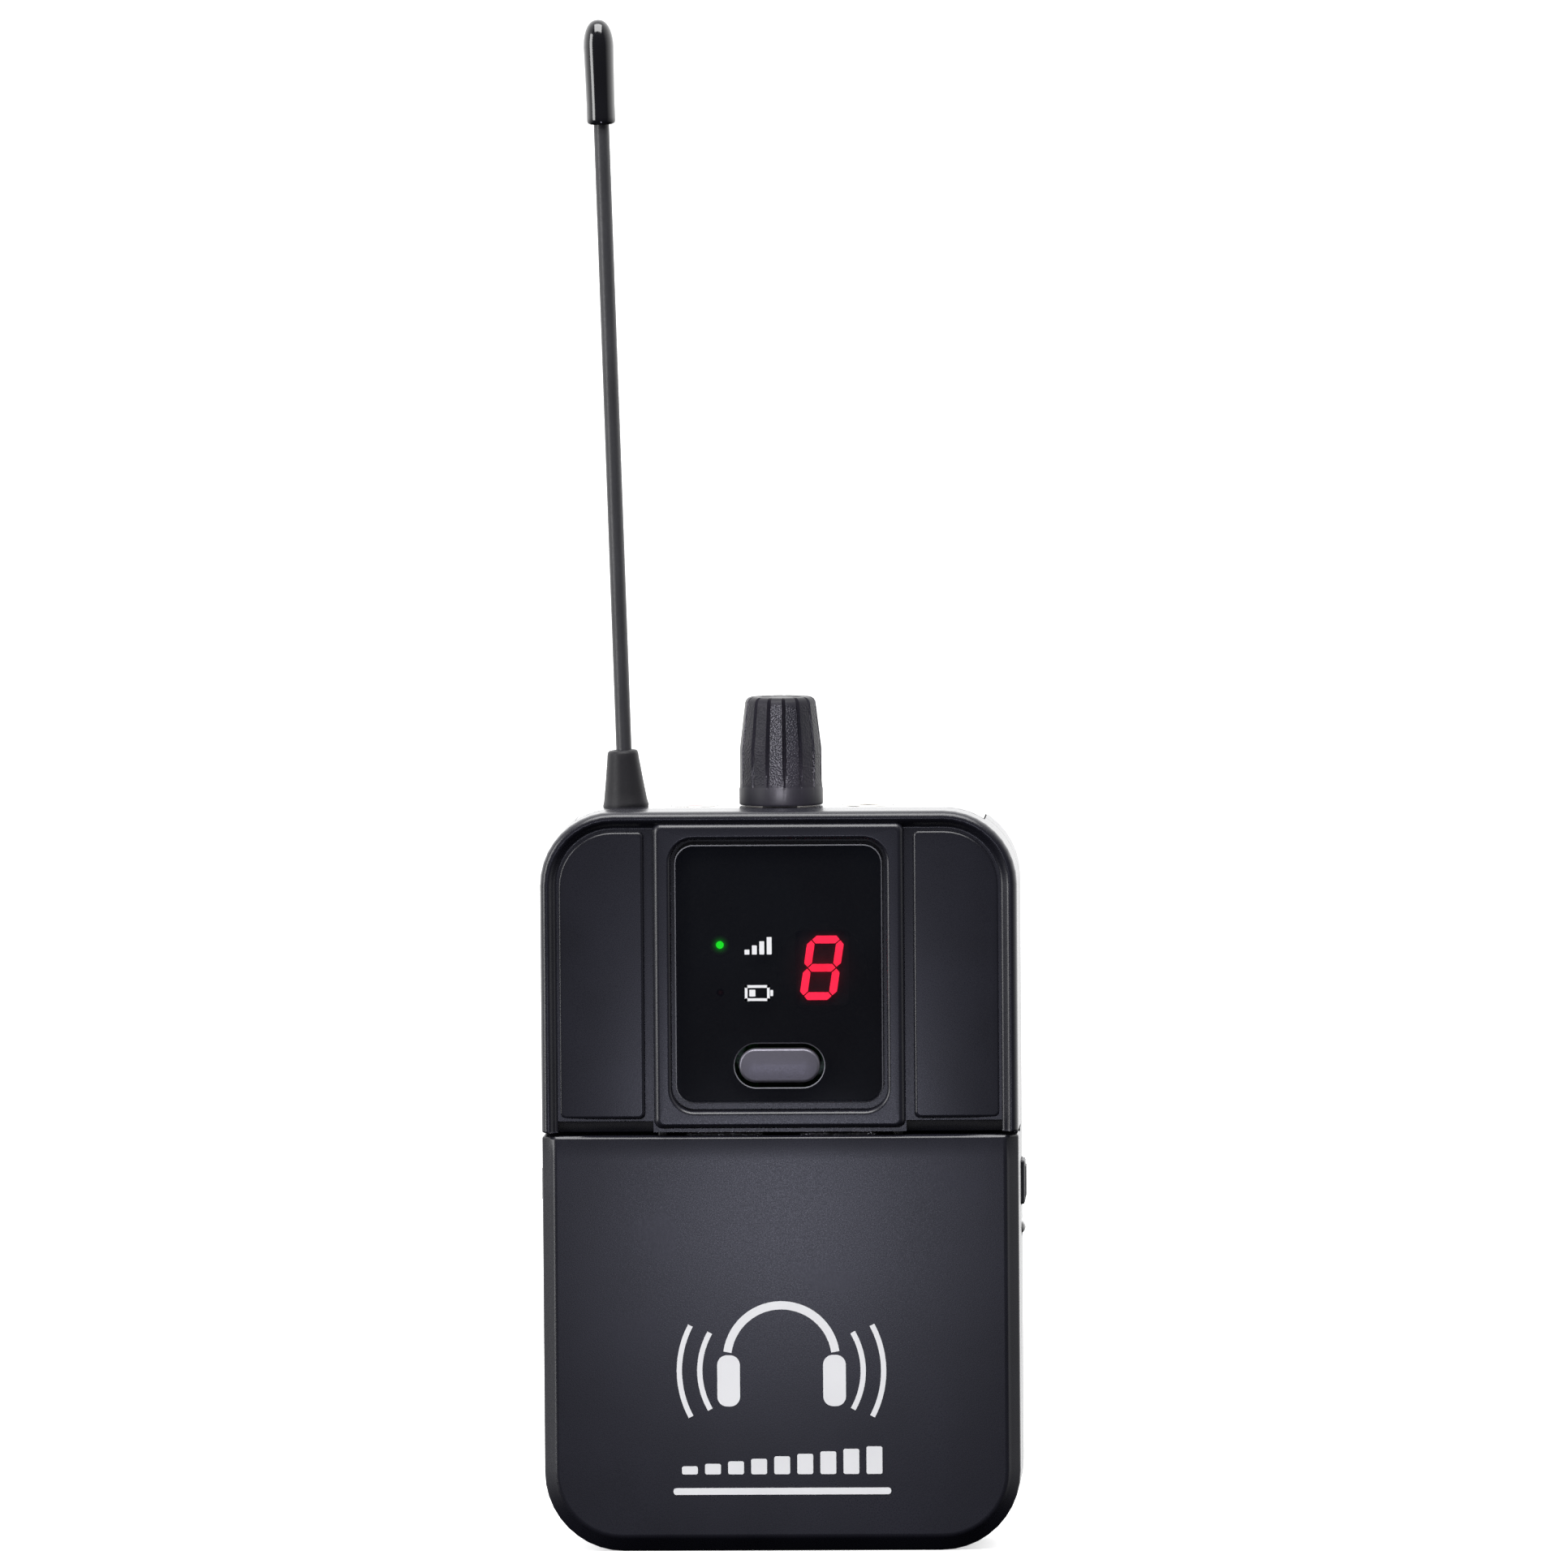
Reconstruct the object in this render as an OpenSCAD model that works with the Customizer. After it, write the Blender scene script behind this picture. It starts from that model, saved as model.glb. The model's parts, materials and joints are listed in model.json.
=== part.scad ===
// Bodypack receiver: a slim upright pack with a display window and a button on the upper front, a battery
// door below them, a whip antenna, a volume knob and a phones jack on top and a wire belt clip at the back.
// Origin at the centre of the flat base. +Z up, the front faces -Y.

/* [Body] */
// Width of the pack
body_w = 63; // [61:0.5:66]
// Height of the pack without antenna and knob
body_h = 98; // [97:0.5:100]
// Radius of the two top corners seen from the front
top_r = 9.7; // [9:0.1:11]
// Radius of the two bottom corners seen from the front
bottom_r = 10.5; // [9:0.1:11]
// Bevel along the front edges
front_edge = 1.5; // [1:0.1:2]
// Radius along the back edges
back_edge = 3; // [2:0.1:3.5]
// Thickness of the case walls
wall = 1.8; // [1.6:0.1:1.9]

/* [Front panels] */
// Depth of the recess around the raised panels
recess_depth = 1.1; // [0.8:0.1:1.2]
// Half width of the raised centre panel
centre_half = 16.5; // [16:0.1:17]
// How far the side panels stand up from the recess
side_panel_rise = 0.35; // [0.2:0.05:0.6]
// Width of the display window
window_w = 27.4; // [26:0.1:27.6]
// Height of the display window
window_h = 34.2; // [33:0.1:34.6]
// Height of the window's centre above the base
window_z = 76.5; // [76.2:0.1:76.8]

/* [Battery door] */
// Height of the door's top edge above the base
door_top = 55.1; // [54.5:0.1:55.2]
// Thickness of the door's plate and side walls
door_wall = 1.5; // [1.2:0.1:1.6]
// Radius of the door's lower front edge, which turns about the hinge axis
hinge_r = 2.1; // [2:0.05:2.3]
// Radius of the hinge pins
hinge_pin_r = 0.6; // [0.5:0.05:0.7]

/* [Controls] */
// Width of the pill-shaped select button
button_w = 10.7; // [9:0.1:11]
// Height of the select button
button_h = 4.5; // [4:0.1:5]
// Height of the button's centre above the base
button_z = 64.4; // [64:0.1:65]
// Radius of the knob at its base
knob_base_r = 5.55; // [5.5:0.05:5.7]
// Radius of the knob at its top
knob_top_r = 4.65; // [4.4:0.05:4.9]
// Height of the knob
knob_h = 14.3; // [14:0.1:16]
// Number of grooves around the knob
knob_grooves = 15; // [12:1:18]

/* [Top panel] */
// Distance of the top fittings behind the mid-depth plane
top_y = 2.5; // [2.3:0.1:2.6]
// Antenna's place across the top
antenna_x = -20.6; // [-21:0.1:-20]
// Indicator's place across the top
indicator_x = -11.5; // [-12:0.1:-11]
// Phones jack's place across the top
jack_x = 11.5; // [11:0.1:12]
// Radius of the jack's bore
jack_r = 1.8; // [1.75:0.05:1.85]

/* [Antenna] */
// Radius of the whip
whip_r = 1.05; // [0.9:0.05:1.2]
// Length of the whip from the top panel to its tip cap's end
antenna_len = 104.3; // [80:0.1:120]
// Lean of the whip towards the left, in degrees
whip_lean = 1.45; // [0:0.05:3]
// Lean of the boot towards the left, in degrees
boot_lean = 3; // [0:0.1:3]

/* [Batteries] */
// Radius of one AA cell
cell_r = 7.25; // [7.2:0.01:7.25]
// Length of one AA cell with its nub
cell_len = 50.5; // [50:0.1:50.5]
// Distance of each cell's axis from the middle
cell_x = 7.55; // [7.5:0.01:7.6]

/* [Latches and belt clip] */
// Height of the latch tabs' centre above the base
latch_z = 47.9; // [47:0.1:48.5]
// Height of a latch tab
latch_h = 5.9; // [5:0.1:6]
// How far a latch tab stands out of the side
latch_out = 0.5; // [0.3:0.1:0.8]
// Height of the belt clip's side holes above the base
clip_z = 41.7; // [41:0.1:42]
// Radius of the clip's wire
wire_r = 1; // [0.9:0.05:1]

/* [Hidden] */
$fn = 48;

big = 200;
half_d = 11;
half_w = body_w / 2;
front_y = -half_d;
back_y = half_d;
shell_z = 55.6;
cavity_front_y = -8.3;
cavity_back_y = back_y - wall;
recess_y = front_y + recess_depth;
hinge_y = -8.9;
hinge_z = 2.1;
hinge_sweep_r = 2.6;
door_back_y = -2.6;
rear_front_y = -2.3;
ear_x = [16.9, 21.1];
ear_w = 1.6;
lug_x = 18.7;
lug_w = 2.2;
insert_half = 27;
insert_y = [-3.8, 8.8];
insert_low_z = 94.9;
antenna_hole_r = 1.8;
indicator_hole_r = 2.3;
pot_hole_r = 3.6;
jack_hole_r = 2.7;
jack_half_d = 4;
gap = 0.1;
glass_y = [-10.5, -9.3];
seat_y = -9.0;
view_half = 15.5;
button_hole_w = button_w + 1.15;
button_hole_h = button_h + 1.3;
display_board_y = [-3.8, -2.8];
main_board_y = [7.4, 8.6];
digit_x = 5.65;
digit_front_y = -8.8;
digit_z = 77.2;
led_x = -7.8;
led_z = [80.3, 74.0];
cell_y = -1.75;
contact_t = 0.4;
nub_h = 1.3;
nub_r = 2.75;
left_cell_z = 4.65;
right_cell_z = 3.05;
bay_half = 15;
bay_wall = 1.2;
bay_z = [2.6, 55.6];
bay_y = [-8.2, 5.7];
boss_x = 25.5;
boss_z = [61, 89];
boss_r = 2.6;
screw_r = 1;
screw_head_y = 9.4;
screw_head_r = 2.2;
post_x = [-8, 8];
post_z = [64, 86];
post_r = 2;
bay_foot_x = [17.5, 22.5];
bay_foot_z = [12, 17];
bay_screw_x = 20;
bay_screw_z = 14.5;
shaft_r = 3;
bushing_r = 3.5;
latch_y = 3.8;
latch_out_x = half_w + latch_out;
slider_x = [22.6, 29.5];
slider_half = 2;
spring_x = [16.4, 21.5];
groove_x = 31;
clip_peg_x = 28.6;
clip_peg_y = 3;
clip_block_x = 27.9;
clip_block_half = 2.2;
clip_back_y = 12.2;
clip_leg_x = 21;
clip_hinge_z = 84.3;
clip_tongue_low_z = 27;

// ---- shared shapes ----

// A box given by its ranges along X, Y and Z
module box(x, y, z) {
    translate([x[0], y[0], z[0]])
        cube([x[1] - x[0], y[1] - y[0], z[1] - z[0]]);
}

// A cylinder along Y between two depths
module along_y(x, z, y, r) {
    translate([x, y[0], z])
        rotate([-90, 0, 0])
            cylinder(r = r, h = y[1] - y[0]);
}

// A cylinder along X between two places
module along_x(x, y, z, r) {
    translate([x[0], y, z])
        rotate([0, 90, 0])
            cylinder(r = r, h = x[1] - x[0]);
}

// Both sides of the pack: the children and their mirror image
module both_sides() {
    children();
    mirror([1, 0, 0])
        children();
}

// Rectangle with round corners, centred across and standing on its low edge
module round_rect(w, low, high, r) {
    for (side = [-1, 1], z = [low + r, high - r])
        translate([side * (w / 2 - r), z])
            circle(r = r);
    translate([-w / 2, low + r])
        square([w, high - low - 2 * r]);
    translate([-w / 2 + r, low])
        square([w - 2 * r, high - low]);
}

// Outline of the pack seen from the front, inset all round
module front_outline(inset) {
    w = body_w / 2 - inset;
    for (side = [-1, 1]) {
        translate([side * (body_w / 2 - top_r), body_h - top_r])
            circle(r = top_r - inset);
        translate([side * (body_w / 2 - bottom_r), bottom_r])
            circle(r = bottom_r - inset);
    }
    translate([-w, bottom_r])
        square([2 * w, body_h - top_r - bottom_r]);
    translate([-body_w / 2 + bottom_r, inset])
        square([body_w - 2 * bottom_r, body_h / 2 - inset]);
    translate([-body_w / 2 + top_r, body_h / 2])
        square([body_w - 2 * top_r, body_h / 2 - inset]);
}

// Cross-section of the pack from front to back: bevelled front edges, round back edges
module depth_outline(half) {
    polygon([
        [-half, front_y + front_edge], [-half + front_edge, front_y], [half - front_edge, front_y],
        [half, front_y + front_edge], [half, back_y - back_edge], [half - back_edge, back_y],
        [-half + back_edge, back_y], [-half, back_y - back_edge]
    ]);
    for (side = [-1, 1])
        translate([side * (half - back_edge), back_y - back_edge])
            circle(r = back_edge);
}

// A front outline drawn in X and Z, extruded between two depths
module upright(y) {
    translate([0, y[1], 0])
        rotate([90, 0, 0])
            linear_extrude(height = y[1] - y[0])
                children();
}

// Cross-section of the pack from base to top, in Y and Z, square where the base meets the front
module side_outline() {
    polygon([
        [front_y, 0], [back_y - back_edge, 0], [back_y, back_edge], [back_y, body_h - back_edge],
        [back_y - back_edge, body_h], [front_y + front_edge, body_h], [front_y, body_h - front_edge]
    ]);
    for (z = [back_edge, body_h - back_edge])
        translate([back_y - back_edge, z])
            circle(r = back_edge);
}

// Extrudes an outline drawn in Y and Z across the whole width
module across() {
    translate([-big / 2, 0, 0])
        rotate([90, 0, 90])
            linear_extrude(height = big)
                children();
}

// The whole outer shape of the pack
module envelope() {
    intersection() {
        upright([front_y, back_y])
            front_outline(0);
        translate([0, 0, -1])
            linear_extrude(height = body_h + 2)
                depth_outline(half_w);
        across()
            side_outline();
    }
}

// A pill: a rectangle with fully round ends, standing in X and Z
module pill(w, h, z) {
    round_rect(w, z - h / 2, z + h / 2, h / 2 - 0.001);
}

// ---- case ----

// The slot in the top walls that the top panel fills
module top_slot(clearance) {
    box([-insert_half - clearance, insert_half + clearance],
        [insert_y[0] - clearance, insert_y[1] + clearance], [90, body_h + 1]);
}

// Raised panels and rim on the front of the upper shell
module front_relief() {
    difference() {
        upright([front_y - 1, recess_y])
            intersection() {
                front_outline(2.1);
                translate([-big / 2, 0])
                    square([big, body_h - 1.1 - 1]);
            }
        upright([front_y - 2, recess_y + 1])
            translate([-centre_half, 56.1])
                square([2 * centre_half, 40.3]);
        both_sides()
            upright([recess_y - side_panel_rise, recess_y + 1])
                intersection() {
                    translate([centre_half + 1, 57.3])
                        square([half_w - 2.3 - centre_half - 1, 38.2]);
                    front_outline(2.3);
                }
    }
}

module front_shell() {
    color([0.13, 0.13, 0.16])
    difference() {
        union() {
            difference() {
                intersection() {
                    envelope();
                    box([-big, big], [front_y, 0], [shell_z, body_h + 1]);
                }
                upright([cavity_front_y, 1])
                    front_outline(wall);
                front_relief();
                top_slot(gap);
            }
            for (side = [-1, 1], z = boss_z)
                along_y(side * boss_x, z, [cavity_front_y - 0.1, -gap], boss_r);
        }
        upright([front_y - 1, seat_y])
            round_rect(window_w + 1.1, window_z - window_h / 2 - 1, window_z + window_h / 2 + 0.7, 3);
        upright([front_y - 1, 0])
            round_rect(24, window_z - view_half, window_z + view_half, 1.5);
        for (side = [-1, 1], z = boss_z)
            along_y(side * boss_x, z, [-6.5, 1], screw_r);
    }
}

// Side profile, in Y and Z, of the rear shell's front edge below the upper shell
module rear_front_cut() {
    upper_z = 12;
    low_y = -7.7;
    across()
        polygon([
            [-big, -1], [low_y, -1], [low_y, 0], [rear_front_y, upper_z],
            [rear_front_y, shell_z - 0.2], [0, shell_z - 0.2], [0, big], [-big, big]
        ]);
}

// Channel that one latch slides in
module latch_guide() {
    inner_half = slider_half + 0.3;
    outer_half = inner_half + 1;
    difference() {
        box([18, 28.2], [1.5, cavity_back_y + 0.1], [latch_z - outer_half, latch_z + outer_half]);
        box([17, 29], [1, 6.1], [latch_z - inner_half, latch_z + inner_half]);
    }
}

// One pair of ears that hold a door hinge pin, with their foot on the floor of the rear shell
module hinge_ears() {
    for (x = ear_x) {
        along_x([x, x + ear_w], hinge_y, hinge_z, 1.2);
        box([x, x + ear_w], [hinge_y, -4.5], [hinge_z + 0.2, hinge_z + 1.2]);
    }
    box([ear_x[0], ear_x[1] + ear_w], [-6, -4.5], [0.2, hinge_z + 1.2]);
}

module rear_shell() {
    color([0.12, 0.12, 0.15])
    difference() {
        union() {
            difference() {
                envelope();
                rear_front_cut();
                upright([-big, cavity_back_y])
                    front_outline(wall);
                top_slot(gap);
                along_x([-big, big], hinge_y, hinge_z, hinge_sweep_r);
            }
            for (side = [-1, 1], z = boss_z)
                along_y(side * boss_x, z, [gap, cavity_back_y + 0.1], boss_r);
            both_sides() {
                intersection() {
                    latch_guide();
                    envelope();
                }
                box([clip_block_x, half_w - wall + 0.1], [1, cavity_back_y + 0.1],
                    [clip_z - clip_block_half, clip_z + clip_block_half]);
                hinge_ears();
                box(bay_foot_x, [bay_y[1] + bay_wall, cavity_back_y + 0.1], bay_foot_z);
            }
            for (x = post_x, z = post_z)
                along_y(x, z, [main_board_y[1], cavity_back_y + 0.1], post_r);
        }
        for (side = [-1, 1], z = boss_z) {
            along_y(side * boss_x, z, [0, back_y + 1], screw_r + 0.1);
            along_y(side * boss_x, z, [screw_head_y, back_y + 1], screw_head_r);
        }
        for (x = post_x, z = post_z)
            along_y(x, z, [8, 9.9], 0.7);
        both_sides() {
            box([27, big], [0.6, 7.0], [latch_z - latch_h / 2 - 0.2, latch_z + latch_h / 2 + 0.2]);
            along_x([clip_peg_x, big], clip_peg_y, clip_z, wire_r + 0.1);
            along_y(groove_x, clip_z, [clip_peg_y, back_y + 1], wire_r + 0.15);
            translate([groove_x, 2, clip_z - wire_r - 0.15])
                cube([2, big, 2 * wire_r + 0.3]);
            for (x = ear_x)
                along_x([x - 0.1, x + ear_w + 0.1], hinge_y, hinge_z, hinge_pin_r + 0.02);
            along_y(bay_screw_x, bay_screw_z, [6.8, 9], 0.8);
        }
    }
}

module top_panel() {
    color([0.1, 0.1, 0.12])
    difference() {
        union() {
            intersection() {
                difference() {
                    envelope();
                    upright([-big, big])
                        front_outline(wall);
                }
                top_slot(0);
            }
            box([-23, 23], insert_y, [insert_low_z, body_h - wall + 0.1]);
        }
        for (hole = [[antenna_x, antenna_hole_r], [indicator_x, indicator_hole_r], [0, pot_hole_r],
                     [jack_x, jack_hole_r]])
            translate([hole[0], top_y, 90])
                cylinder(r = hole[1], h = 10);
    }
}

module case_screws() {
    color([0.16, 0.16, 0.17])
    for (side = [-1, 1], z = boss_z) {
        difference() {
            along_y(side * boss_x, z, [screw_head_y + 0.1, 10.7], screw_head_r - 0.2);
            along_y(side * boss_x, z, [10.1, 11], 0.8, $fn = 6);
        }
        along_y(side * boss_x, z, [-5.5, screw_head_y + 0.1], screw_r - 0.02);
    }
}

// ---- battery door ----

// Side profile, in Y and Z, of the door: round about the hinge at the lower front, sloping at the lower back
module door_profile() {
    across() {
        polygon([
            [front_y, hinge_z], [hinge_y, 0], [-8, 0], [door_back_y, 12], [door_back_y, door_top],
            [front_y + 0.4, door_top], [front_y, door_top - 0.6]
        ]);
        translate([hinge_y, hinge_z])
            circle(r = hinge_r);
    }
}

module battery_door() {
    color([0.11, 0.11, 0.14])
    difference() {
        union() {
            difference() {
                intersection() {
                    envelope();
                    door_profile();
                }
                intersection() {
                    upright([front_y + door_wall, 0])
                        front_outline(door_wall);
                    box([-big, big], [front_y + door_wall, 0], [door_wall, door_top + 1]);
                }
                both_sides()
                    intersection() {
                        box([16.7, 22.9], [front_y, 0], [-1, hinge_z + 1.6]);
                        union() {
                            along_x([0, big], hinge_y, hinge_z, 1.45);
                            box([0, big], [hinge_y, 0], [-1, hinge_z + 1.6]);
                        }
                    }
            }
            both_sides() {
                along_x([lug_x, lug_x + lug_w], hinge_y, hinge_z, 1.5);
                box([28.8, half_w - door_wall + 0.1], [-4.4, -3.2], [46, 50]);
            }
        }
        both_sides()
            along_x([lug_x - 0.1, lug_x + lug_w + 0.1], hinge_y, hinge_z, hinge_pin_r + 0.05);
    }
}

module door_hinge_pins() {
    color([0.7, 0.7, 0.72])
    both_sides()
        along_x([ear_x[0], ear_x[1] + ear_w], hinge_y, hinge_z, hinge_pin_r);
}

// ---- window and button ----

module display_window() {
    color([0.02, 0.02, 0.03, 0.6])
    upright(glass_y)
        difference() {
            round_rect(window_w, window_z - window_h / 2, window_z + window_h / 2, 2.5);
            pill(button_hole_w, button_hole_h, button_z);
        }
}

module window_gasket() {
    color([0.05, 0.05, 0.05])
    upright([glass_y[1], seat_y])
        difference() {
            round_rect(window_w - 0.4, window_z - window_h / 2 + 0.2, window_z + window_h / 2 - 0.2, 2.4);
            round_rect(24.4, window_z - view_half - 0.2, window_z + view_half + 0.2, 1.5);
        }
}

module select_button() {
    color([0.2, 0.2, 0.22])
    union() {
        upright([-10.9, -8.8])
            pill(button_w, button_h, button_z);
        upright([-9.1, -8.3])
            pill(button_w + 2, button_h + 1.8, button_z);
        along_y(0, button_z, [-8.4, -6.5], 1.4);
    }
}

module tact_switch() {
    color([0.3, 0.3, 0.32])
    union() {
        box([-3, 3], [-5.4, display_board_y[0]], [button_z - 3, button_z + 3]);
        along_y(0, button_z, [-5.9, -5.4], 1.6);
    }
}

// ---- display electronics ----

module display_board() {
    color([0.05, 0.25, 0.1])
    difference() {
        box([-21, 21], display_board_y, [58, 87]);
        for (side = [-1, 1])
            along_y(side * 18, 84, [-5, 0], 1.1);
    }
}

module digit_housing() {
    half_wide = 4.2;
    half_tall = 6.2;
    color([0.08, 0.08, 0.09])
    box([digit_x - half_wide, digit_x + half_wide], [digit_front_y, display_board_y[0]],
        [digit_z - half_tall, digit_z + half_tall]);
}

// The seven bars of the digit, slanted like a usual display
module digit_segments() {
    bar = 0.9;
    tall = 3.3;
    wide = 3.2;
    slant = 0.15;
    color([1, 0.1, 0.15])
    upright([digit_front_y - 0.3, digit_front_y]) {
        for (level = [-1, 0, 1])
            translate([digit_x + level * (tall + bar / 2) * slant - wide / 2,
                       digit_z + level * (tall + bar / 2) - bar / 2])
                square([wide, bar]);
        for (side = [-1, 1], level = [-1, 1])
            translate([digit_x + side * (wide / 2 + bar / 2 + 0.15) + level * (tall / 2 + bar / 2) * slant,
                       digit_z + level * (tall / 2 + bar / 4)])
                polygon([
                    [-bar / 2 - tall / 2 * slant, -tall / 2], [bar / 2 - tall / 2 * slant, -tall / 2],
                    [bar / 2 + tall / 2 * slant, tall / 2], [-bar / 2 + tall / 2 * slant, tall / 2]
                ]);
    }
}

// A round indicator that stands on the display board
module panel_led(z) {
    along_y(led_x, z, [-8.7, display_board_y[0]], 1.1);
    along_y(led_x, z, [-5, display_board_y[0]], 1.4);
}

module rf_led() {
    color([0.1, 0.95, 0.1])
    panel_led(led_z[0]);
}

module low_battery_led() {
    color([0.35, 0.05, 0.05])
    panel_led(led_z[1]);
}

module board_link() {
    color([0.1, 0.1, 0.11])
    box([-9, 9], [display_board_y[1], main_board_y[0]], [67.5, 70]);
}

module main_board() {
    color([0.05, 0.3, 0.12])
    difference() {
        union() {
            box([-27.5, 27.5], main_board_y, [58, 88]);
            box([-15.5, 15.5], main_board_y, [6, 58.1]);
        }
        for (side = [-1, 1], z = boss_z)
            along_y(side * boss_x, z, [7, 9], boss_r + 0.3);
        for (x = post_x, z = post_z)
            along_y(x, z, [7, 9], 0.9);
    }
}

module board_screws() {
    color([0.75, 0.75, 0.75])
    for (x = post_x, z = post_z) {
        along_y(x, z, [6.6, main_board_y[0]], 1.5);
        along_y(x, z, [main_board_y[0], 9.8], 0.68);
    }
}

module rf_shield() {
    shield_x = [-22, -11];
    shield_y = 4.4;
    shield_z = [66, 84];
    sheet = 0.3;
    color([0.75, 0.76, 0.78])
    difference() {
        box(shield_x, [shield_y, main_board_y[0]], shield_z);
        box([shield_x[0] + sheet, shield_x[1] - sheet], [shield_y + sheet, main_board_y[0] + 1],
            [shield_z[0] + sheet, shield_z[1] - sheet]);
    }
}

module processor_chip() {
    color([0.08, 0.08, 0.08])
    union() {
        box([12, 20], [6.2, main_board_y[0]], [70, 78]);
        box([12, 17], [6.4, main_board_y[0]], [62, 66]);
    }
}

// ---- volume control ----

module pot_body() {
    color([0.35, 0.36, 0.38])
    difference() {
        union() {
            box([-4.8, 4.8], [top_y - 4.7, main_board_y[0]], [88.5, 94.8]);
            translate([0, top_y, 94.8])
                cylinder(r = bushing_r, h = 5.2);
        }
        translate([0, top_y, 89.2])
            cylinder(r = shaft_r + 0.05, h = 12);
    }
}

module pot_shaft() {
    color([0.8, 0.8, 0.82])
    translate([0, top_y, 89.3])
        cylinder(r = shaft_r, h = 20.7);
}

module pot_nut() {
    color([0.8, 0.8, 0.82])
    difference() {
        translate([0, top_y, body_h])
            cylinder(r = 4.6, h = 1.9, $fn = 6);
        translate([0, top_y, body_h - 1])
            cylinder(r = bushing_r + 0.02, h = 4);
    }
}

module volume_knob() {
    groove_r = 0.4;
    nut_room_r = 4.85;
    band_h = 2.2;
    lean = atan((knob_base_r - knob_top_r) / (knob_h - band_h));
    color([0.1, 0.1, 0.11])
    translate([0, top_y, body_h + 0.15])
        difference() {
            rotate_extrude()
                polygon([
                    [0, 0], [knob_base_r, 0], [knob_base_r, band_h], [knob_base_r - 0.2, band_h + 0.2],
                    [knob_top_r, knob_h - 0.8], [knob_top_r - 0.8, knob_h], [0, knob_h]
                ]);
            for (i = [0 : knob_grooves - 1])
                rotate([0, 0, 7 + i * 360 / knob_grooves])
                    translate([0, -knob_base_r, band_h + 0.4])
                        rotate([-lean, 0, 0])
                            cylinder(r = groove_r, h = knob_h);
            translate([0, 0, -1])
                cylinder(r = shaft_r + 0.02, h = 13);
            translate([0, 0, -1])
                cylinder(r = nut_room_r, h = 3);
        }
}

// ---- antenna ----

// Places its children on the antenna's foot, leaning to the left
module on_antenna(lean) {
    translate([antenna_x, top_y, body_h])
        rotate([0, -lean, 0])
            children();
}

module antenna_ferrule() {
    low_z = 91;
    color([0.8, 0.65, 0.35])
    union() {
        translate([antenna_x, top_y, low_z])
            cylinder(r = antenna_hole_r - 0.02, h = body_h - low_z);
        translate([antenna_x, top_y, 92.6])
            cylinder(r = 3.4, h = 2.2, $fn = 6);
    }
}

module antenna_boot() {
    color([0.1, 0.1, 0.1])
    difference() {
        union() {
            translate([antenna_x, top_y, body_h])
                cylinder(r = 3, h = 1.1);
            on_antenna(boot_lean)
                translate([0, 0, 0.4])
                    cylinder(r1 = 2.9, r2 = 2, h = 7.1);
        }
        on_antenna(whip_lean)
            cylinder(r = whip_r + 0.02, h = 12);
    }
}

module antenna_whip() {
    color([0.08, 0.08, 0.08])
    on_antenna(whip_lean)
        translate([0, 0, 0.3])
            cylinder(r = whip_r, h = antenna_len - 3);
}

module antenna_tip() {
    cap_len = 13.9;
    color([0.03, 0.03, 0.03])
    on_antenna(whip_lean)
        translate([0, 0, antenna_len - cap_len])
            difference() {
                rotate_extrude()
                    polygon([
                        [0, 0], [1.5, 0], [1.95, 0.6], [2.05, cap_len - 3], [1.75, cap_len - 1.3],
                        [1.1, cap_len - 0.3], [0.5, cap_len], [0, cap_len]
                    ]);
                translate([0, 0, -1])
                    cylinder(r = whip_r + 0.02, h = cap_len - 1.6);
            }
}

// ---- indicator and phones jack ----

module indicator_ring() {
    color([0.55, 0.55, 0.57])
    translate([indicator_x, top_y, 0])
        difference() {
            union() {
                translate([0, 0, body_h])
                    cylinder(r = 3, h = 0.3);
                translate([0, 0, insert_low_z])
                    cylinder(r = indicator_hole_r - 0.02, h = body_h + 0.1 - insert_low_z);
            }
            translate([0, 0, 94])
                cylinder(r = 1.9, h = 6);
        }
}

module indicator_lens() {
    color([0.6, 0.2, 0.15, 0.8])
    translate([indicator_x, top_y, 0])
        union() {
            translate([0, 0, 95.2])
                cylinder(r = 1.88, h = 3);
            translate([0, 0, body_h + 0.2])
                cylinder(r1 = 1.88, r2 = 1.2, h = 0.4);
        }
}

module indicator_led() {
    half = 1.5;
    color([0.9, 0.9, 0.85])
    union() {
        translate([indicator_x, top_y, 92])
            cylinder(r = half, h = 3.1);
        box([indicator_x - half, indicator_x + half], [top_y - half, main_board_y[0]], [90.8, 92]);
        box([indicator_x - half, indicator_x + half], [main_board_y[0] - 1, main_board_y[0]], [85, 90.9]);
    }
}

module jack_body() {
    color([0.09, 0.09, 0.1])
    difference() {
        union() {
            box([jack_x - 3.6, jack_x + 3.6], [top_y - jack_half_d, top_y + jack_half_d], [81, 94.8]);
            translate([jack_x, top_y, 94.8])
                cylinder(r = 2.6, h = 3.6);
        }
        translate([jack_x, top_y, 84.4])
            cylinder(r = jack_r, h = 20);
    }
}

module jack_ring() {
    color([0.6, 0.6, 0.62])
    translate([jack_x, top_y, body_h])
        difference() {
            cylinder(r = 3.3, h = 0.4);
            translate([0, 0, -1])
                cylinder(r = 2.62, h = 3);
        }
}

module jack_terminals() {
    color([0.8, 0.65, 0.35])
    for (z = [82.5, 85, 87.3])
        box([jack_x - 1, jack_x + 1], [top_y + jack_half_d, main_board_y[0]], [z, z + 0.5]);
}

// ---- batteries ----

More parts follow.
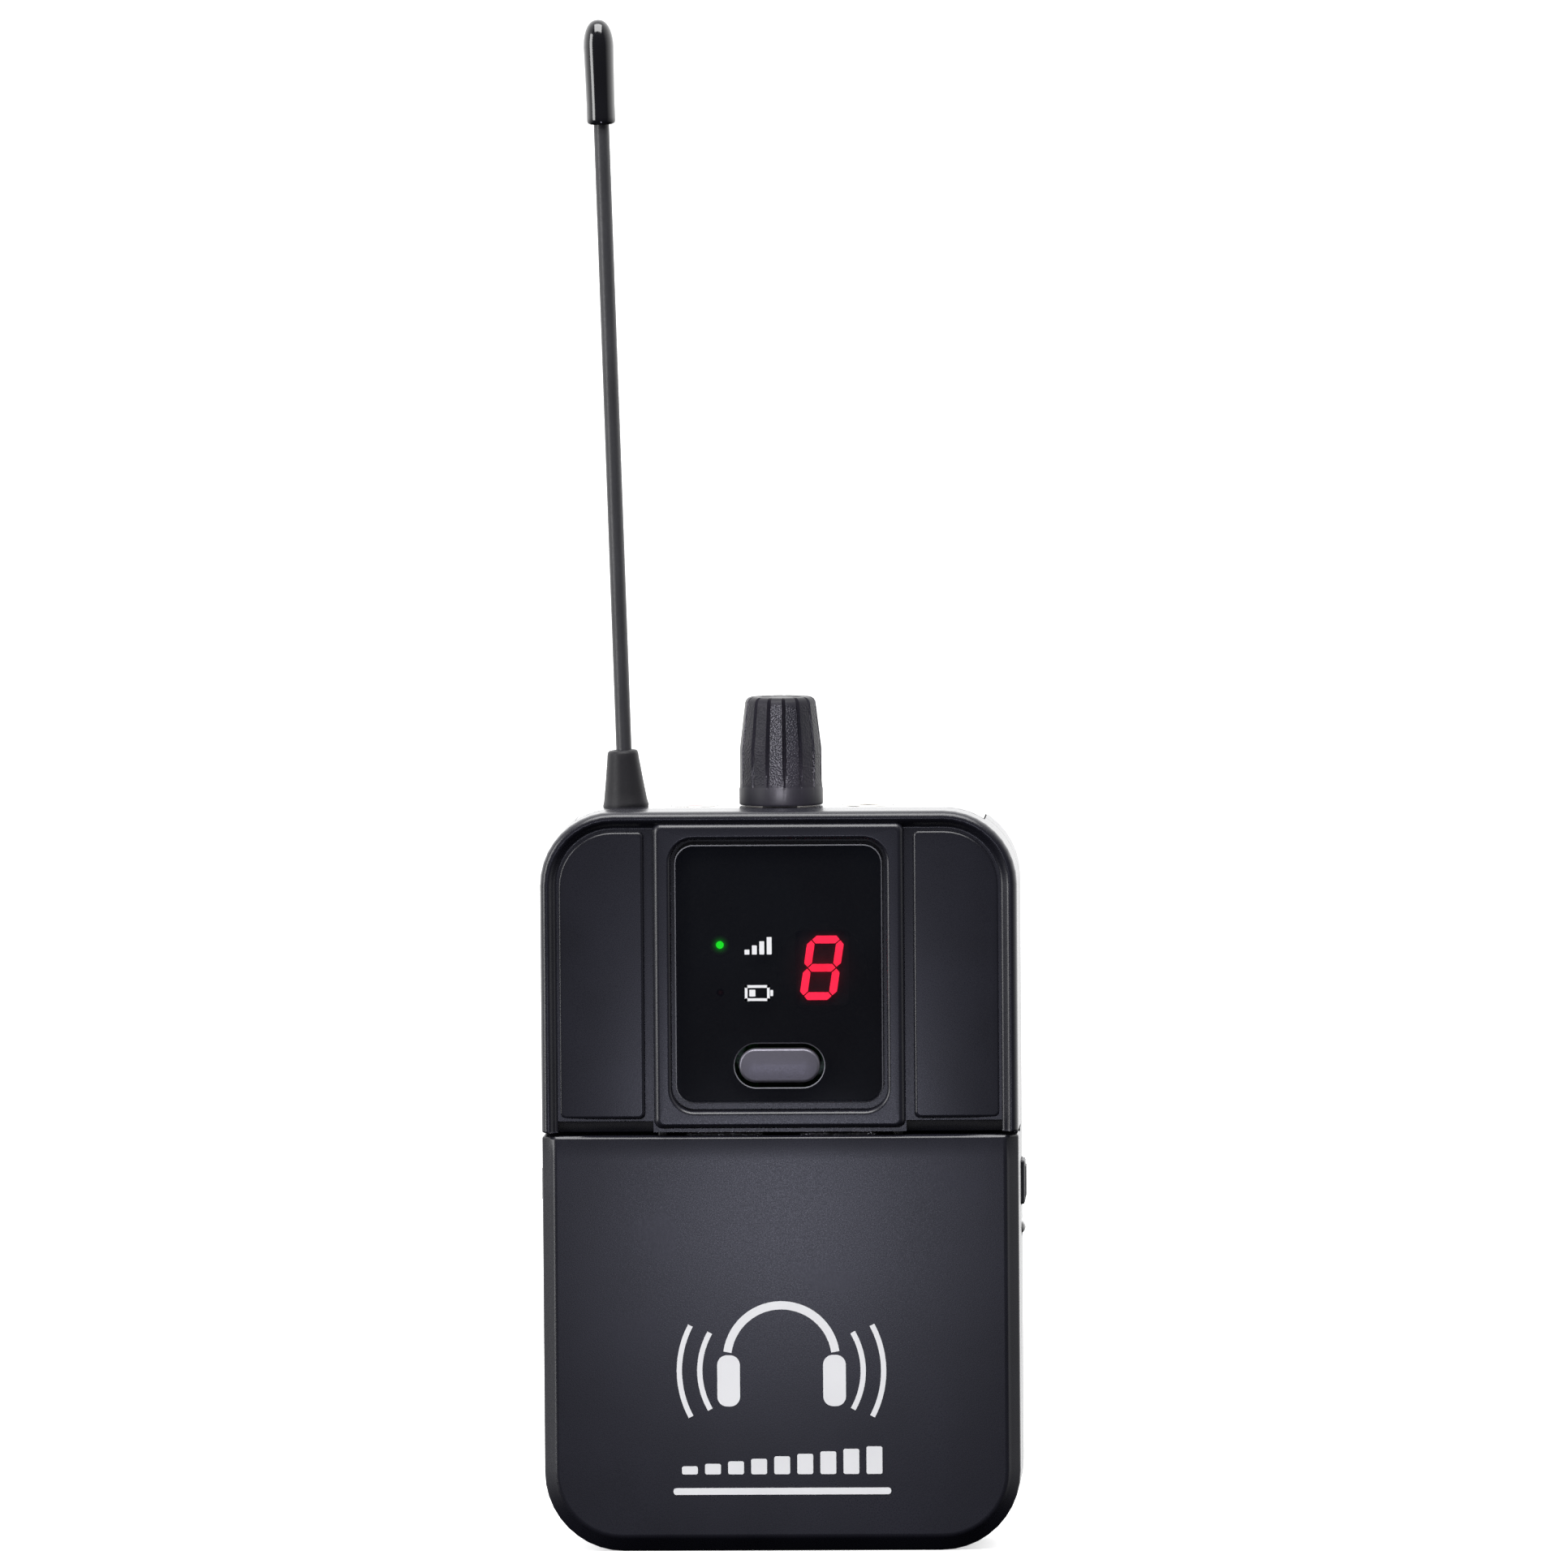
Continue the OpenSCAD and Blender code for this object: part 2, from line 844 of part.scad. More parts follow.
module battery_bay() {
    color([0.1, 0.1, 0.11])
    difference() {
        union() {
            difference() {
                box([-bay_half - bay_wall, bay_half + bay_wall], [bay_y[0], bay_y[1] + bay_wall],
                    [bay_z[0] - 0.8, bay_z[1] + bay_wall]);
                box([-bay_half, bay_half], [-big, bay_y[1]], bay_z);
            }
            both_sides()
                box([bay_half, bay_foot_x[1]], [bay_y[1], bay_y[1] + bay_wall], bay_foot_z);
        }
        along_x([-big, big], hinge_y, hinge_z, hinge_sweep_r);
        both_sides()
            along_y(bay_screw_x, bay_screw_z, [5, 8], 0.85);
    }
}

module bay_screws() {
    color([0.75, 0.75, 0.75])
    both_sides() {
        along_y(bay_screw_x, bay_screw_z, [4.7, bay_y[1]], 1.6);
        along_y(bay_screw_x, bay_screw_z, [bay_y[1], 8.9], 0.78);
    }
}

// Two contacts at the top and one link plate at the bottom, which puts the cells in series
module battery_contacts() {
    contact_y = [-5.5, 3];
    color([0.8, 0.8, 0.8])
    union() {
        box([-12.5, 12.5], contact_y, [bay_z[0], bay_z[0] + contact_t]);
        both_sides()
            box([2.5, 12.5], contact_y, [bay_z[1] - contact_t, bay_z[1]]);
    }
}

// The coil springs of the two minus contacts, as hollow frusta
module battery_springs() {
    wide_r = 4;
    narrow_r = 3;
    inner_r = 2.2;
    color([0.8, 0.8, 0.8])
    union() {
        translate([-cell_x, cell_y, bay_z[0] + contact_t])
            difference() {
                cylinder(r1 = wide_r, r2 = narrow_r, h = left_cell_z - bay_z[0] - contact_t);
                cylinder(r = inner_r, h = 9, center = true);
            }
        translate([cell_x, cell_y, right_cell_z + cell_len])
            difference() {
                cylinder(r1 = narrow_r, r2 = wide_r, h = bay_z[1] - contact_t - right_cell_z - cell_len);
                cylinder(r = inner_r, h = 9, center = true);
            }
    }
}

// One AA cell standing on its flat end
module aa_cell() {
    cylinder(r = cell_r, h = cell_len - nub_h);
    cylinder(r = nub_r, h = cell_len);
}

module aa_cell_left() {
    color([0.75, 0.55, 0.2])
    translate([-cell_x, cell_y, left_cell_z])
        aa_cell();
}

module aa_cell_right() {
    color([0.75, 0.55, 0.2])
    translate([cell_x, cell_y, right_cell_z + cell_len])
        mirror([0, 0, 1])
            aa_cell();
}

// ---- latches ----

// The latch on the right side; the left one is its mirror image
module latch() {
    arm_front_y = -6.2;
    arm_half = 1.5;
    union() {
        box([slider_x[1], latch_out_x], [0.8, 6.8], [latch_z - latch_h / 2, latch_z + latch_h / 2]);
        box([slider_x[0], slider_x[1] + 0.1], [1.8, 5.8], [latch_z - slider_half, latch_z + slider_half]);
        box([24.5, 27], [arm_front_y, 1.9], [latch_z - arm_half, latch_z + arm_half]);
        box([26.9, 28.5], [arm_front_y, arm_front_y + 1.5], [latch_z - arm_half, latch_z + arm_half]);
    }
}

module latch_right() {
    color([0.09, 0.09, 0.1])
    latch();
}

module latch_left() {
    color([0.09, 0.09, 0.1])
    mirror([1, 0, 0])
        latch();
}

module latch_springs() {
    coil_r = 1.6;
    coil_wire = 0.5;
    color([0.7, 0.7, 0.7])
    both_sides()
        difference() {
            along_x(spring_x, latch_y, latch_z, coil_r);
            along_x([0, 30], latch_y, latch_z, coil_r - coil_wire);
        }
}

// ---- belt clip ----

// A wire through the given points, with rounded bends
module wire(points) {
    for (i = [0 : len(points) - 2])
        hull()
            for (end = [points[i], points[i + 1]])
                translate(end)
                    sphere(r = wire_r, $fn = 8);
}

module belt_clip_legs() {
    color([0.05, 0.05, 0.05])
    both_sides()
        wire([
            [clip_peg_x + wire_r + 0.1, clip_peg_y, clip_z], [groove_x, clip_peg_y, clip_z],
            [groove_x, clip_back_y, clip_z],
            [clip_leg_x, clip_back_y, clip_z + 5], [clip_leg_x, clip_back_y, clip_hinge_z - 2 * wire_r - 0.3]
        ]);
}

module belt_clip_tongue() {
    turn_x = 16;
    inner_x = 10;
    low = clip_tongue_low_z;
    color([0.05, 0.05, 0.05])
    both_sides()
        wire([
            [clip_leg_x, clip_back_y, clip_hinge_z], [clip_leg_x - 1, clip_back_y + 1.2, clip_hinge_z + 3],
            [turn_x, clip_back_y + 4, clip_hinge_z + 4.2], [inner_x + 1, clip_back_y + 6, clip_hinge_z + 1],
            [inner_x, clip_back_y + 6.8, clip_hinge_z - 8], [inner_x - 0.5, clip_back_y + 6.4, low + 24],
            [inner_x - 2, clip_back_y + 0.2, low + 8], [inner_x - 4.5, clip_back_y + 0.4, low + 2],
            [0, clip_back_y + 0.6, low]
        ]);
}

front_shell();
rear_shell();
top_panel();
battery_door();
door_hinge_pins();
display_window();
window_gasket();
select_button();
tact_switch();
volume_knob();
pot_shaft();
pot_body();
pot_nut();
antenna_ferrule();
antenna_boot();
antenna_whip();
antenna_tip();
indicator_ring();
indicator_lens();
indicator_led();
jack_ring();
jack_body();
jack_terminals();
main_board();
display_board();
board_link();
digit_housing();
digit_segments();
rf_led();
low_battery_led();
rf_shield();
processor_chip();
battery_bay();
bay_screws();
battery_contacts();
battery_springs();
aa_cell_left();
aa_cell_right();
latch_left();
latch_right();
latch_springs();
case_screws();
board_screws();
belt_clip_legs();
belt_clip_tongue();
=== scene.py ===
"""Looks of the bodypack receiver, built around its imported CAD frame.

Lengths in the piece-making functions are millimetres in the row frame: +X right, +Y back, +Z up.
"""

import json
import math

import bmesh
import bpy
from mathutils import Matrix, Vector


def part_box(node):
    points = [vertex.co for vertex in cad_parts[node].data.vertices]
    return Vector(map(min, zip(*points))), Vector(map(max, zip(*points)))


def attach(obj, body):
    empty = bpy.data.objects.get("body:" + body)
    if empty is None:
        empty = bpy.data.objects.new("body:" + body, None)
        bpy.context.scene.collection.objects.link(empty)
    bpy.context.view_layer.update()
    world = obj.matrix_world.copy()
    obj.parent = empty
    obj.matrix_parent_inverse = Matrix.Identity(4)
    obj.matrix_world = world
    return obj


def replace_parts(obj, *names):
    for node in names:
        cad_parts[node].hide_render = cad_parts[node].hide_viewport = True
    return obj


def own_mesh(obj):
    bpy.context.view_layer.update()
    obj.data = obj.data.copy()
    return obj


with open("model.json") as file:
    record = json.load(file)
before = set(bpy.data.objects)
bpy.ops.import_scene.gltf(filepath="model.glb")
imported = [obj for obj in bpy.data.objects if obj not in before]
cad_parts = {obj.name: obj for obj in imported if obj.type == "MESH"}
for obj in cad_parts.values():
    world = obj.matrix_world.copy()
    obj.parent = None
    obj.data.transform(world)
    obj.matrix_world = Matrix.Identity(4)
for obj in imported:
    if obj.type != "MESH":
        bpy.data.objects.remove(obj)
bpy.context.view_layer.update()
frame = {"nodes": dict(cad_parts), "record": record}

MM = 0.001
SHARP = 32  # degrees: edges that turn by more than this stay sharp
SIDES = ((-1, "left"), (1, "right"))


def corners(node):
    """Lowest and highest corner of a CAD node, in millimetres."""
    low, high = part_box(node)
    return low / MM, high / MM


def middle(node):
    """Centre of a CAD node's box, in millimetres."""
    return [(low + high) / 2 for low, high in zip(*corners(node))]


SHELL_LOW, SHELL_HIGH = corners("front_shell")
REAR_HIGH = corners("rear_shell")[1]
GLASS_LOW, GLASS_HIGH = corners("display_window")
TOP_LOW, TOP_HIGH = corners("top_panel")
KNOB_LOW, KNOB_HIGH = corners("volume_knob")
BUTTON_LOW, BUTTON_HIGH = corners("select_button")

# The case
HALF_W = REAR_HIGH.x
HEIGHT = SHELL_HIGH.z
FRONT_Y = SHELL_LOW.y
BACK_Y = REAR_HIGH.y
TOP_R = 9.7
BOTTOM_R = 10.5
WALL = 1.8
SHELL_Z = SHELL_LOW.z
RECESS_Y = FRONT_Y + 1.1
SEAT_Y = -9.0
BOSS_X = 25.5
BOSS_Z = (61, 89)
REAR_STEP_Z = 55.4

# The door: above SLOPE_Z its back edge is upright, below it slopes towards the hinge
DOOR_TOP = corners("battery_door")[1].z
HINGE_Y, HINGE_Z = -8.9, 2.1
SLOPE_Z = 12.0
SLOPE = 5.4 / SLOPE_Z
HINGE_HOLLOW_R = 2.6
EAR_X = (16.9, 21.1)
EAR_W = 1.6

# What stands on top
TOP_Y = middle("jack_ring")[1]
ANTENNA_X = middle("antenna_ferrule")[0]
INDICATOR_X = -11.5
JACK_X = 11.5
WHIP_LEAN = 1.62
BOOT_LEAN = 3.0
ANTENNA_LEN = 104.3

# Behind the window
LAMP_X = -7.8
LAMP_Z = (80.3, 74.0)
BUTTON_Z = middle("select_button")[2]
BUTTON_HOLE = (5.92, 2.9)

# Latches, clip and cells
LATCH_Z = middle("latch_right")[2]
CLIP_Z = 41.7
GROOVE_X = 31.0
CELL_X, CELL_Y = 7.55, -1.75

# ---- materials ----


def node_tree(name):
    """A new material with its tree, its shader and its object coordinates."""
    material = bpy.data.materials.new(name)
    material.use_nodes = True
    tree = material.node_tree
    coord = tree.nodes.new("ShaderNodeTexCoord").outputs["Object"]
    return material, tree, tree.nodes["Principled BSDF"], coord


def feed(tree, node, inputs):
    """Links the sockets among a node's inputs and sets the other inputs to their values."""
    for key, value in inputs.items():
        if isinstance(value, bpy.types.NodeSocket):
            tree.links.new(value, node.inputs[key])
        else:
            node.inputs[key].default_value = value


def add(tree, kind, inputs, **settings):
    """A new shader node of a kind, with its settings and inputs."""
    node = tree.nodes.new("ShaderNode" + kind)
    for key, value in settings.items():
        setattr(node, key, value)
    feed(tree, node, inputs)
    return node


def noise(tree, coord, scale, detail):
    """Noise over coordinates; scale is in features per metre."""
    return add(tree, "TexNoise", {"Scale": scale, "Detail": detail, "Vector": coord}).outputs["Fac"]


def dots(tree, coord, scale):
    """Distance to the nearest of scattered points, for dots and pads."""
    return add(tree, "TexVoronoi", {"Scale": scale, "Vector": coord}).outputs["Distance"]


def height_of(tree, coord):
    """Height above the base, in metres."""
    return add(tree, "SeparateXYZ", {"Vector": coord}).outputs["Z"]


def maths(tree, operation, first, second=0.0):
    """Result of a maths operation on sockets or numbers."""
    return add(tree, "Math", {0: first, 1: second}, operation=operation).outputs["Value"]


def remap(tree, value, low, high, from_low=0.3, from_high=0.7):
    """value spread from its own range to low..high; noise stays mostly within 0.3 to 0.7."""
    inputs = {"From Min": from_low, "From Max": from_high, "To Min": low, "To Max": high, "Value": value}
    return add(tree, "MapRange", inputs).outputs["Result"]


def mix(tree, factor, first, second):
    """Colour between first and second, each a colour or a socket."""
    first, second = [(*end, 1.0) if isinstance(end, tuple) else end for end in (first, second)]
    return add(tree, "Mix", {"A": first, "B": second, "Factor": factor}, data_type="RGBA").outputs["Result"]


def scaled(color, factor):
    """Colour made darker or lighter by a factor."""
    return tuple(min(1.0, c * factor) for c in color)


def bump(tree, shader, height, depth, strength=1.0):
    """Relief of depth millimetres on a shader."""
    relief = add(tree, "Bump", {"Distance": depth * MM, "Height": height, "Strength": strength})
    feed(tree, shader, {"Normal": relief.outputs["Normal"]})


def surface(name, color, rough, grain=3000, depth=0.02, mottle=0.15, metal=0.0, coat=0.0, specular=0.5):
    """Moulded, painted or rubber surface with fine grain, slow colour drift and uneven gloss."""
    material, tree, shader, coord = node_tree(name)
    drift = remap(tree, noise(tree, coord, 90, 4), 0, 1)
    fine = noise(tree, coord, grain, 2)
    feed(tree, shader, {
        "Base Color": mix(tree, drift, scaled(color, 1 - mottle), scaled(color, 1 + mottle)),
        "Roughness": remap(tree, fine, rough * 0.9, rough * 1.12), "Metallic": metal,
        "Coat Weight": coat, "Coat Roughness": 0.08, "Specular IOR Level": specular,
    })
    bump(tree, shader, fine, depth)
    return material


def brushed(name, color, rough, stretch=(1, 1, 0.06)):
    """Metal with fine turning or brushing lines."""
    material, tree, shader, coord = node_tree(name)
    mapping = add(tree, "Mapping", {"Scale": stretch, "Vector": coord})
    lines = noise(tree, mapping.outputs["Vector"], 6000, 2)
    feed(tree, shader, {
        "Base Color": mix(tree, remap(tree, lines, 0, 1), scaled(color, 0.8), color),
        "Roughness": remap(tree, lines, rough * 0.8, rough * 1.3), "Metallic": 1.0,
    })
    bump(tree, shader, lines, 0.004)
    return material


def lit(name, color, strength):
    """A lit segment or lens, a little uneven in brightness."""
    material, tree, shader, coord = node_tree(name)
    glow = mix(tree, remap(tree, noise(tree, coord, 2500, 1), 0, 1), scaled(color, 0.85), color)
    feed(tree, shader, {"Emission Color": glow, "Base Color": glow, "Emission Strength": strength,
                        "Roughness": 0.4})
    return material


def halo(name, color, centre, radius, strength, densest):
    """Glow that fades out from a point: light scattered in the smoked panel round a lamp."""
    material, tree, shader, coord = node_tree(name)
    away = add(tree, "VectorMath", {0: coord, 1: tuple(c * MM for c in centre)}, operation="DISTANCE")
    fade = maths(tree, "POWER", remap(tree, away.outputs["Value"], 1.0, 0.0, 0.0, radius * MM), 2.2)
    feed(tree, shader, {
        "Alpha": remap(tree, fade, 0.0, densest, 0.0, 1.0), "Base Color": (0, 0, 0, 1),
        "Emission Color": mix(tree, fade, scaled(color, 0.3), color), "Emission Strength": strength,
    })
    return material


def smoked_glass():
    """Dark tinted window: glossy on its face, letting strong lamps behind it through."""
    material, tree, shader, coord = node_tree("window_glass")
    drift = noise(tree, coord, 60, 2)
    feed(tree, shader, {
        "Base Color": mix(tree, remap(tree, drift, 0, 1), (0.003, 0.003, 0.006), (0.005, 0.006, 0.010)),
        "Roughness": remap(tree, drift, 0.03, 0.07), "Alpha": 0.45, "IOR": 1.5, "Specular IOR Level": 0.36,
    })
    return material


def knob_rubber():
    """Matt rubber with a coarse texture on the rib faces and a smooth foot and top."""
    material, tree, shader, coord = node_tree("knob_rubber")
    height = height_of(tree, coord)
    above_foot = remap(tree, height, 0, 1, (KNOB_LOW.z + 2.5) * MM, (KNOB_LOW.z + 2.9) * MM)
    below_top = remap(tree, height, 1, 0, (KNOB_HIGH.z - 1.1) * MM, (KNOB_HIGH.z - 0.7) * MM)
    zone = maths(tree, "MULTIPLY", above_foot, below_top)
    bump(tree, shader, maths(tree, "MULTIPLY", dots(tree, coord, 4200), zone), 0.07, 0.8)
    drift = remap(tree, noise(tree, coord, 120, 3), 0, 1)
    feed(tree, shader, {
        "Base Color": mix(tree, drift, (0.007, 0.007, 0.009), (0.011, 0.010, 0.013)),
        "Roughness": remap(tree, zone, 0.42, 0.36, 0, 1), "Specular IOR Level": 0.16,
    })
    return material


def circuit_board():
    """Green solder mask over copper tracks."""
    material, tree, shader, coord = node_tree("board_green")
    upright = add(tree, "Mapping", {"Rotation": (math.radians(90), 0, 0), "Vector": coord})
    tracks = add(tree, "TexBrick", {
        "Scale": 420, "Mortar Size": 0.07, "Vector": upright.outputs["Vector"],
        "Color1": (0.012, 0.09, 0.035, 1), "Color2": (0.014, 0.11, 0.045, 1), "Mortar": (0.03, 0.2, 0.07, 1),
    })
    pads = dots(tree, coord, 380)
    pad = remap(tree, pads, 1, 0, 0.08, 0.11)
    feed(tree, shader, {"Base Color": mix(tree, pad, tracks.outputs["Color"], (0.6, 0.58, 0.5)),
                        "Roughness": remap(tree, pads, 0.3, 0.42, 0, 1)})
    bump(tree, shader, tracks.outputs["Fac"], 0.03)
    return material


def cell_jacket():
    """Printed foil jacket of a battery cell: graphite with a pale band at each end."""
    material, tree, shader, coord = node_tree("cell_jacket")
    from_middle = maths(tree, "ABSOLUTE", maths(tree, "SUBTRACT", height_of(tree, coord), 29 * MM))
    band = remap(tree, from_middle, 0, 1, 19.4 * MM, 19.5 * MM)
    drift = noise(tree, coord, 400, 2)
    body = mix(tree, remap(tree, drift, 0, 1), (0.040, 0.044, 0.052), (0.046, 0.051, 0.060))
    feed(tree, shader, {"Base Color": mix(tree, band, body, (0.30, 0.32, 0.35)), "Metallic": 0.5,
                        "Roughness": remap(tree, drift, 0.27, 0.31), "Coat Weight": 0.5})
    return material


PAINT = ((0.0110, 0.0110, 0.0165), 0.28, 5200, 0.0025)

# Arguments of surface(): colour, roughness, grain, depth, mottle, metal, coat, specular
SURFACES = {
    "front_shell_paint": PAINT,
    "rear_shell_paint": PAINT,
    "door_paint": PAINT,
    "top_plastic": ((0.010, 0.010, 0.014), 0.2, 4200, 0.006),
    # glass_edge: paler grey on the window's ground bevels, partly real frosting and partly a painted
    # highlight line
    "glass_edge": ((0.16, 0.16, 0.18), 0.25, 2500),
    "button_plastic": ((0.14, 0.133, 0.163), 0.36, 4200, 0.012, 0.1, 0.5),
    "boot_rubber": ((0.012, 0.0115, 0.014), 0.48, 3600, 0.012, 0.15, 0.0, 0.0, 0.25),
    "whip_rubber": ((0.030, 0.030, 0.034), 0.42, 2600, 0.012),
    "tip_plastic": ((0.006, 0.006, 0.008), 0.12, 900, 0.004, 0.15, 0.0, 0.6),
    "gasket_rubber": ((0.012, 0.012, 0.012), 0.7),
    "lens_plastic": ((0.16, 0.03, 0.03), 0.12, 900, 0.003, 0.15, 0.0, 0.5),
    "led_dark": ((0.05, 0.008, 0.008), 0.3, 900, 0.003),
    "inner_plastic": ((0.030, 0.030, 0.032), 0.5, 2400),
    "latch_plastic": ((0.022, 0.022, 0.028), 0.45, 3600, 0.03),
    "clip_wire": ((0.014, 0.014, 0.016), 0.28, 2200, 0.01, 0.15, 0.0, 0.3),
    "print_white": ((0.85, 0.85, 0.87), 0.55, 4200, 0.006, 0.03),
}

# Arguments of brushed(): colour, roughness, stretch
METALS = {
    "spring_steel": ((0.62, 0.62, 0.64), 0.22),
    "nickel": ((0.66, 0.64, 0.61), 0.2, (1, 1, 1)),
    "ferrule_brass": ((0.72, 0.52, 0.24), 0.25),
    "shield_tin": ((0.6, 0.6, 0.59), 0.32, (1, 1, 0.2)),
    "screw_black": ((0.09, 0.09, 0.095), 0.35),
    "screw_zinc": ((0.62, 0.62, 0.6), 0.3),
}

M = {name: surface(name, *values) for name, values in SURFACES.items()}
M.update({name: brushed(name, *values) for name, values in METALS.items()})
M["window_glass"] = smoked_glass()
M["knob_rubber"] = knob_rubber()
M["board_green"] = circuit_board()
M["cell_jacket"] = cell_jacket()
M["led_red"] = lit("led_red", (1.0, 0.018, 0.06), 4.5)
M["led_green"] = lit("led_green", (0.01, 0.95, 0.02), 3.0)

for entry in frame["record"]["subparts"]:
    for place in frame["nodes"][entry["node"]].material_slots:
        place.material = M[entry["material_slot"]]

# ---- mesh making ----


def shape(name, points, faces, material, body, sharp=SHARP):
    """A mesh piece from millimetre points, smooth except at sharp edges, riding on a body."""
    mesh = bpy.data.meshes.new(name)
    mesh.from_pydata([Vector(p) * MM for p in points], [], faces)
    obj = bpy.data.objects.new(name, mesh)
    bpy.context.scene.collection.objects.link(obj)
    tidy(mesh, sharp)
    mesh.materials.append(M[material])
    obj["finish"] = material
    if body:
        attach(obj, body)
    return obj


def tidy(mesh, sharp=SHARP):
    """Merges doubled points, turns faces outward and marks sharp edges."""
    work = bmesh.new()
    work.from_mesh(mesh)
    bmesh.ops.remove_doubles(work, verts=work.verts, dist=1e-7)
    bmesh.ops.recalc_face_normals(work, faces=work.faces)
    for face in work.faces:
        face.smooth = True
    for edge in work.edges:
        edge.smooth = edge.calc_face_angle(math.pi) < math.radians(sharp)
    work.to_mesh(mesh)
    work.free()


def even_normals(obj):
    """Lets the large flat faces decide the shading beside fillets."""
    weighted = obj.modifiers.new("even_normals", "WEIGHTED_NORMAL")
    weighted.weight = 100
    weighted.keep_sharp = True
    return obj


def on_circle(cx, cz, r, degrees):
    """Point on a circle at an angle."""
    a = math.radians(degrees)
    return cx + r * math.cos(a), cz + r * math.sin(a)


def loop(x0, x1, z0, z1, radii, side_z=(), steps=10):
    """Points round a rectangle in X and Z with a radius at each corner: lower right, upper right, upper
    left, lower left. side_z adds points at those heights on both upright sides."""
    centres = (
        (x1 - radii[0], z0 + radii[0], -90), (x1 - radii[1], z1 - radii[1], 0),
        (x0 + radii[2], z1 - radii[2], 90), (x0 + radii[3], z0 + radii[3], 180),
    )
    points = []
    for (cx, cz, start), r in zip(centres, radii):
        if start == 0:
            points += [(x1, z) for z in side_z]
        if start == 180:
            points += [(x0, z) for z in reversed(side_z)]
        points += [on_circle(cx, cz, r, start + 90 * i / steps) for i in range(steps + 1)]
    return points


def at(points, y):
    """Points in X and Z placed at depth y, a number or a function of Z."""
    return [(x, y(z) if callable(y) else y, z) for x, z in points]


def flat(name, points, y, material, body):
    """One flat face at depth y, from a loop in X and Z."""
    return shape(name, at(points, y), [tuple(range(len(points)))], material, body)


def across(side, near, far):
    """Range of X between two distances from the middle, on one side."""
    return sorted((side * near, side * far))


def around(centre, half):
    """Range that reaches equally far both ways."""
    return centre - half, centre + half


def loft(name, rings, material, body, caps=(True, True), sharp=SHARP):
    """Skin through rings of equally many points, with the first and last ring closed as asked."""
    n = len(rings[0])
    points = [p for ring in rings for p in ring]
    faces = []
    for k in range(len(rings) - 1):
        for i in range(n):
            j = (i + 1) % n
            faces.append((k * n + i, k * n + j, (k + 1) * n + j, (k + 1) * n + i))
    if caps[0]:
        faces.append(tuple(range(n - 1, -1, -1)))
    if caps[1]:
        faces.append(tuple((len(rings) - 1) * n + i for i in range(n)))
    return shape(name, points, faces, material, body, sharp)


def quarter(steps=6):
    """Sines and cosines of a quarter turn, for fillets."""
    return [(math.sin(math.pi / 2 * i / steps), math.cos(math.pi / 2 * i / steps)) for i in range(steps + 1)]


def slab(name, outline, back, front, fillet, material, body):
    """Plate between two depths whose front edge is rounded. outline(inset) gives its loop."""
    rings = [at(outline(0), back)]
    rings += [at(outline(fillet * (1 - c)), front + fillet * (1 - s)) for s, c in quarter()]
    return even_normals(loft(name, rings, material, body))


def turned(name, profile, material, body, base=(0, 0, 0), lean=0.0, axis="Z", segments=64, caps=(True, True)):
    """Solid of revolution of (radius, height) points about an axis through base; lean tips it to the left."""
    turn = {"Z": Matrix(), "Y": Matrix.Rotation(math.radians(-90), 4, "X"),
            "X": Matrix.Rotation(math.radians(90), 4, "Y")}[axis]
    place = Matrix.Translation(base) @ Matrix.Rotation(math.radians(-lean), 4, "Y") @ turn
    angles = [2 * math.pi * i / segments for i in range(segments)]
    rings = [[place @ Vector((r * math.cos(a), r * math.sin(a), h)) for a in angles] for r, h in profile]
    return loft(name, rings, material, body, caps)


def tube(name, points, r, material, body, samples, sides):
    """Round wire through points along a smooth curve."""
    path = smooth_path([Vector(p) for p in points], samples)
    angles = [2 * math.pi * k / sides for k in range(sides)]
    rings = []
    up = None
    for i, p in enumerate(path):
        along = (path[min(i + 1, len(path) - 1)] - path[max(i - 1, 0)]).normalized()
        up = up or along.orthogonal().normalized()
        up = (up - along * up.dot(along)).normalized()
        side = along.cross(up)
        rings.append([p + r * (math.cos(a) * up + math.sin(a) * side) for a in angles])
    return loft(name, rings, material, body, sharp=50)


def smooth_path(points, samples):
    """Catmull-Rom curve through points."""
    padded = [2 * points[0] - points[1]] + points + [2 * points[-1] - points[-2]]
    path = []
    for i in range(1, len(padded) - 2):
        p0, p1, p2, p3 = padded[i - 1:i + 3]
        for k in range(samples):
            t = k / samples
            path.append(0.5 * (2 * p1 + (p2 - p0) * t + (2 * p0 - 5 * p1 + 4 * p2 - p3) * t * t
                               + (3 * p1 - p0 - 3 * p2 + p3) * t ** 3))
    path.append(points[-1])
    return path


def block(name, x, y, z, material, body, bevel=0.25):
    """Box given by its ranges, with rounded edges."""
    points = [(a, b, c) for a in x for b in y for c in z]
    faces = [(0, 1, 3, 2), (4, 6, 7, 5), (0, 4, 5, 1), (2, 3, 7, 6), (0, 2, 6, 4), (1, 5, 7, 3)]
    obj = shape(name, points, faces, material, body)
    if bevel:
        rounding = obj.modifiers.new("bevel", "BEVEL")
        rounding.width = bevel * MM
        rounding.segments = 3
        rounding.harden_normals = True
    return obj


def box_cutter(x, y, z):
    """Box to cut with, given by its ranges."""
    return block("cutter", x, y, z, "inner_plastic", None, 0)


def loop_cutter(points, y):
    """Solid to cut with: a loop in X and Z between two depths."""
    return loft("cutter", [at(points, depth) for depth in y], "inner_plastic", None)


def round_cutter(base, r, length, axis):
    """Cylinder to cut with."""
    return turned("cutter", [(r, 0), (r, length)], "inner_plastic", None, base, 0, axis, 48)


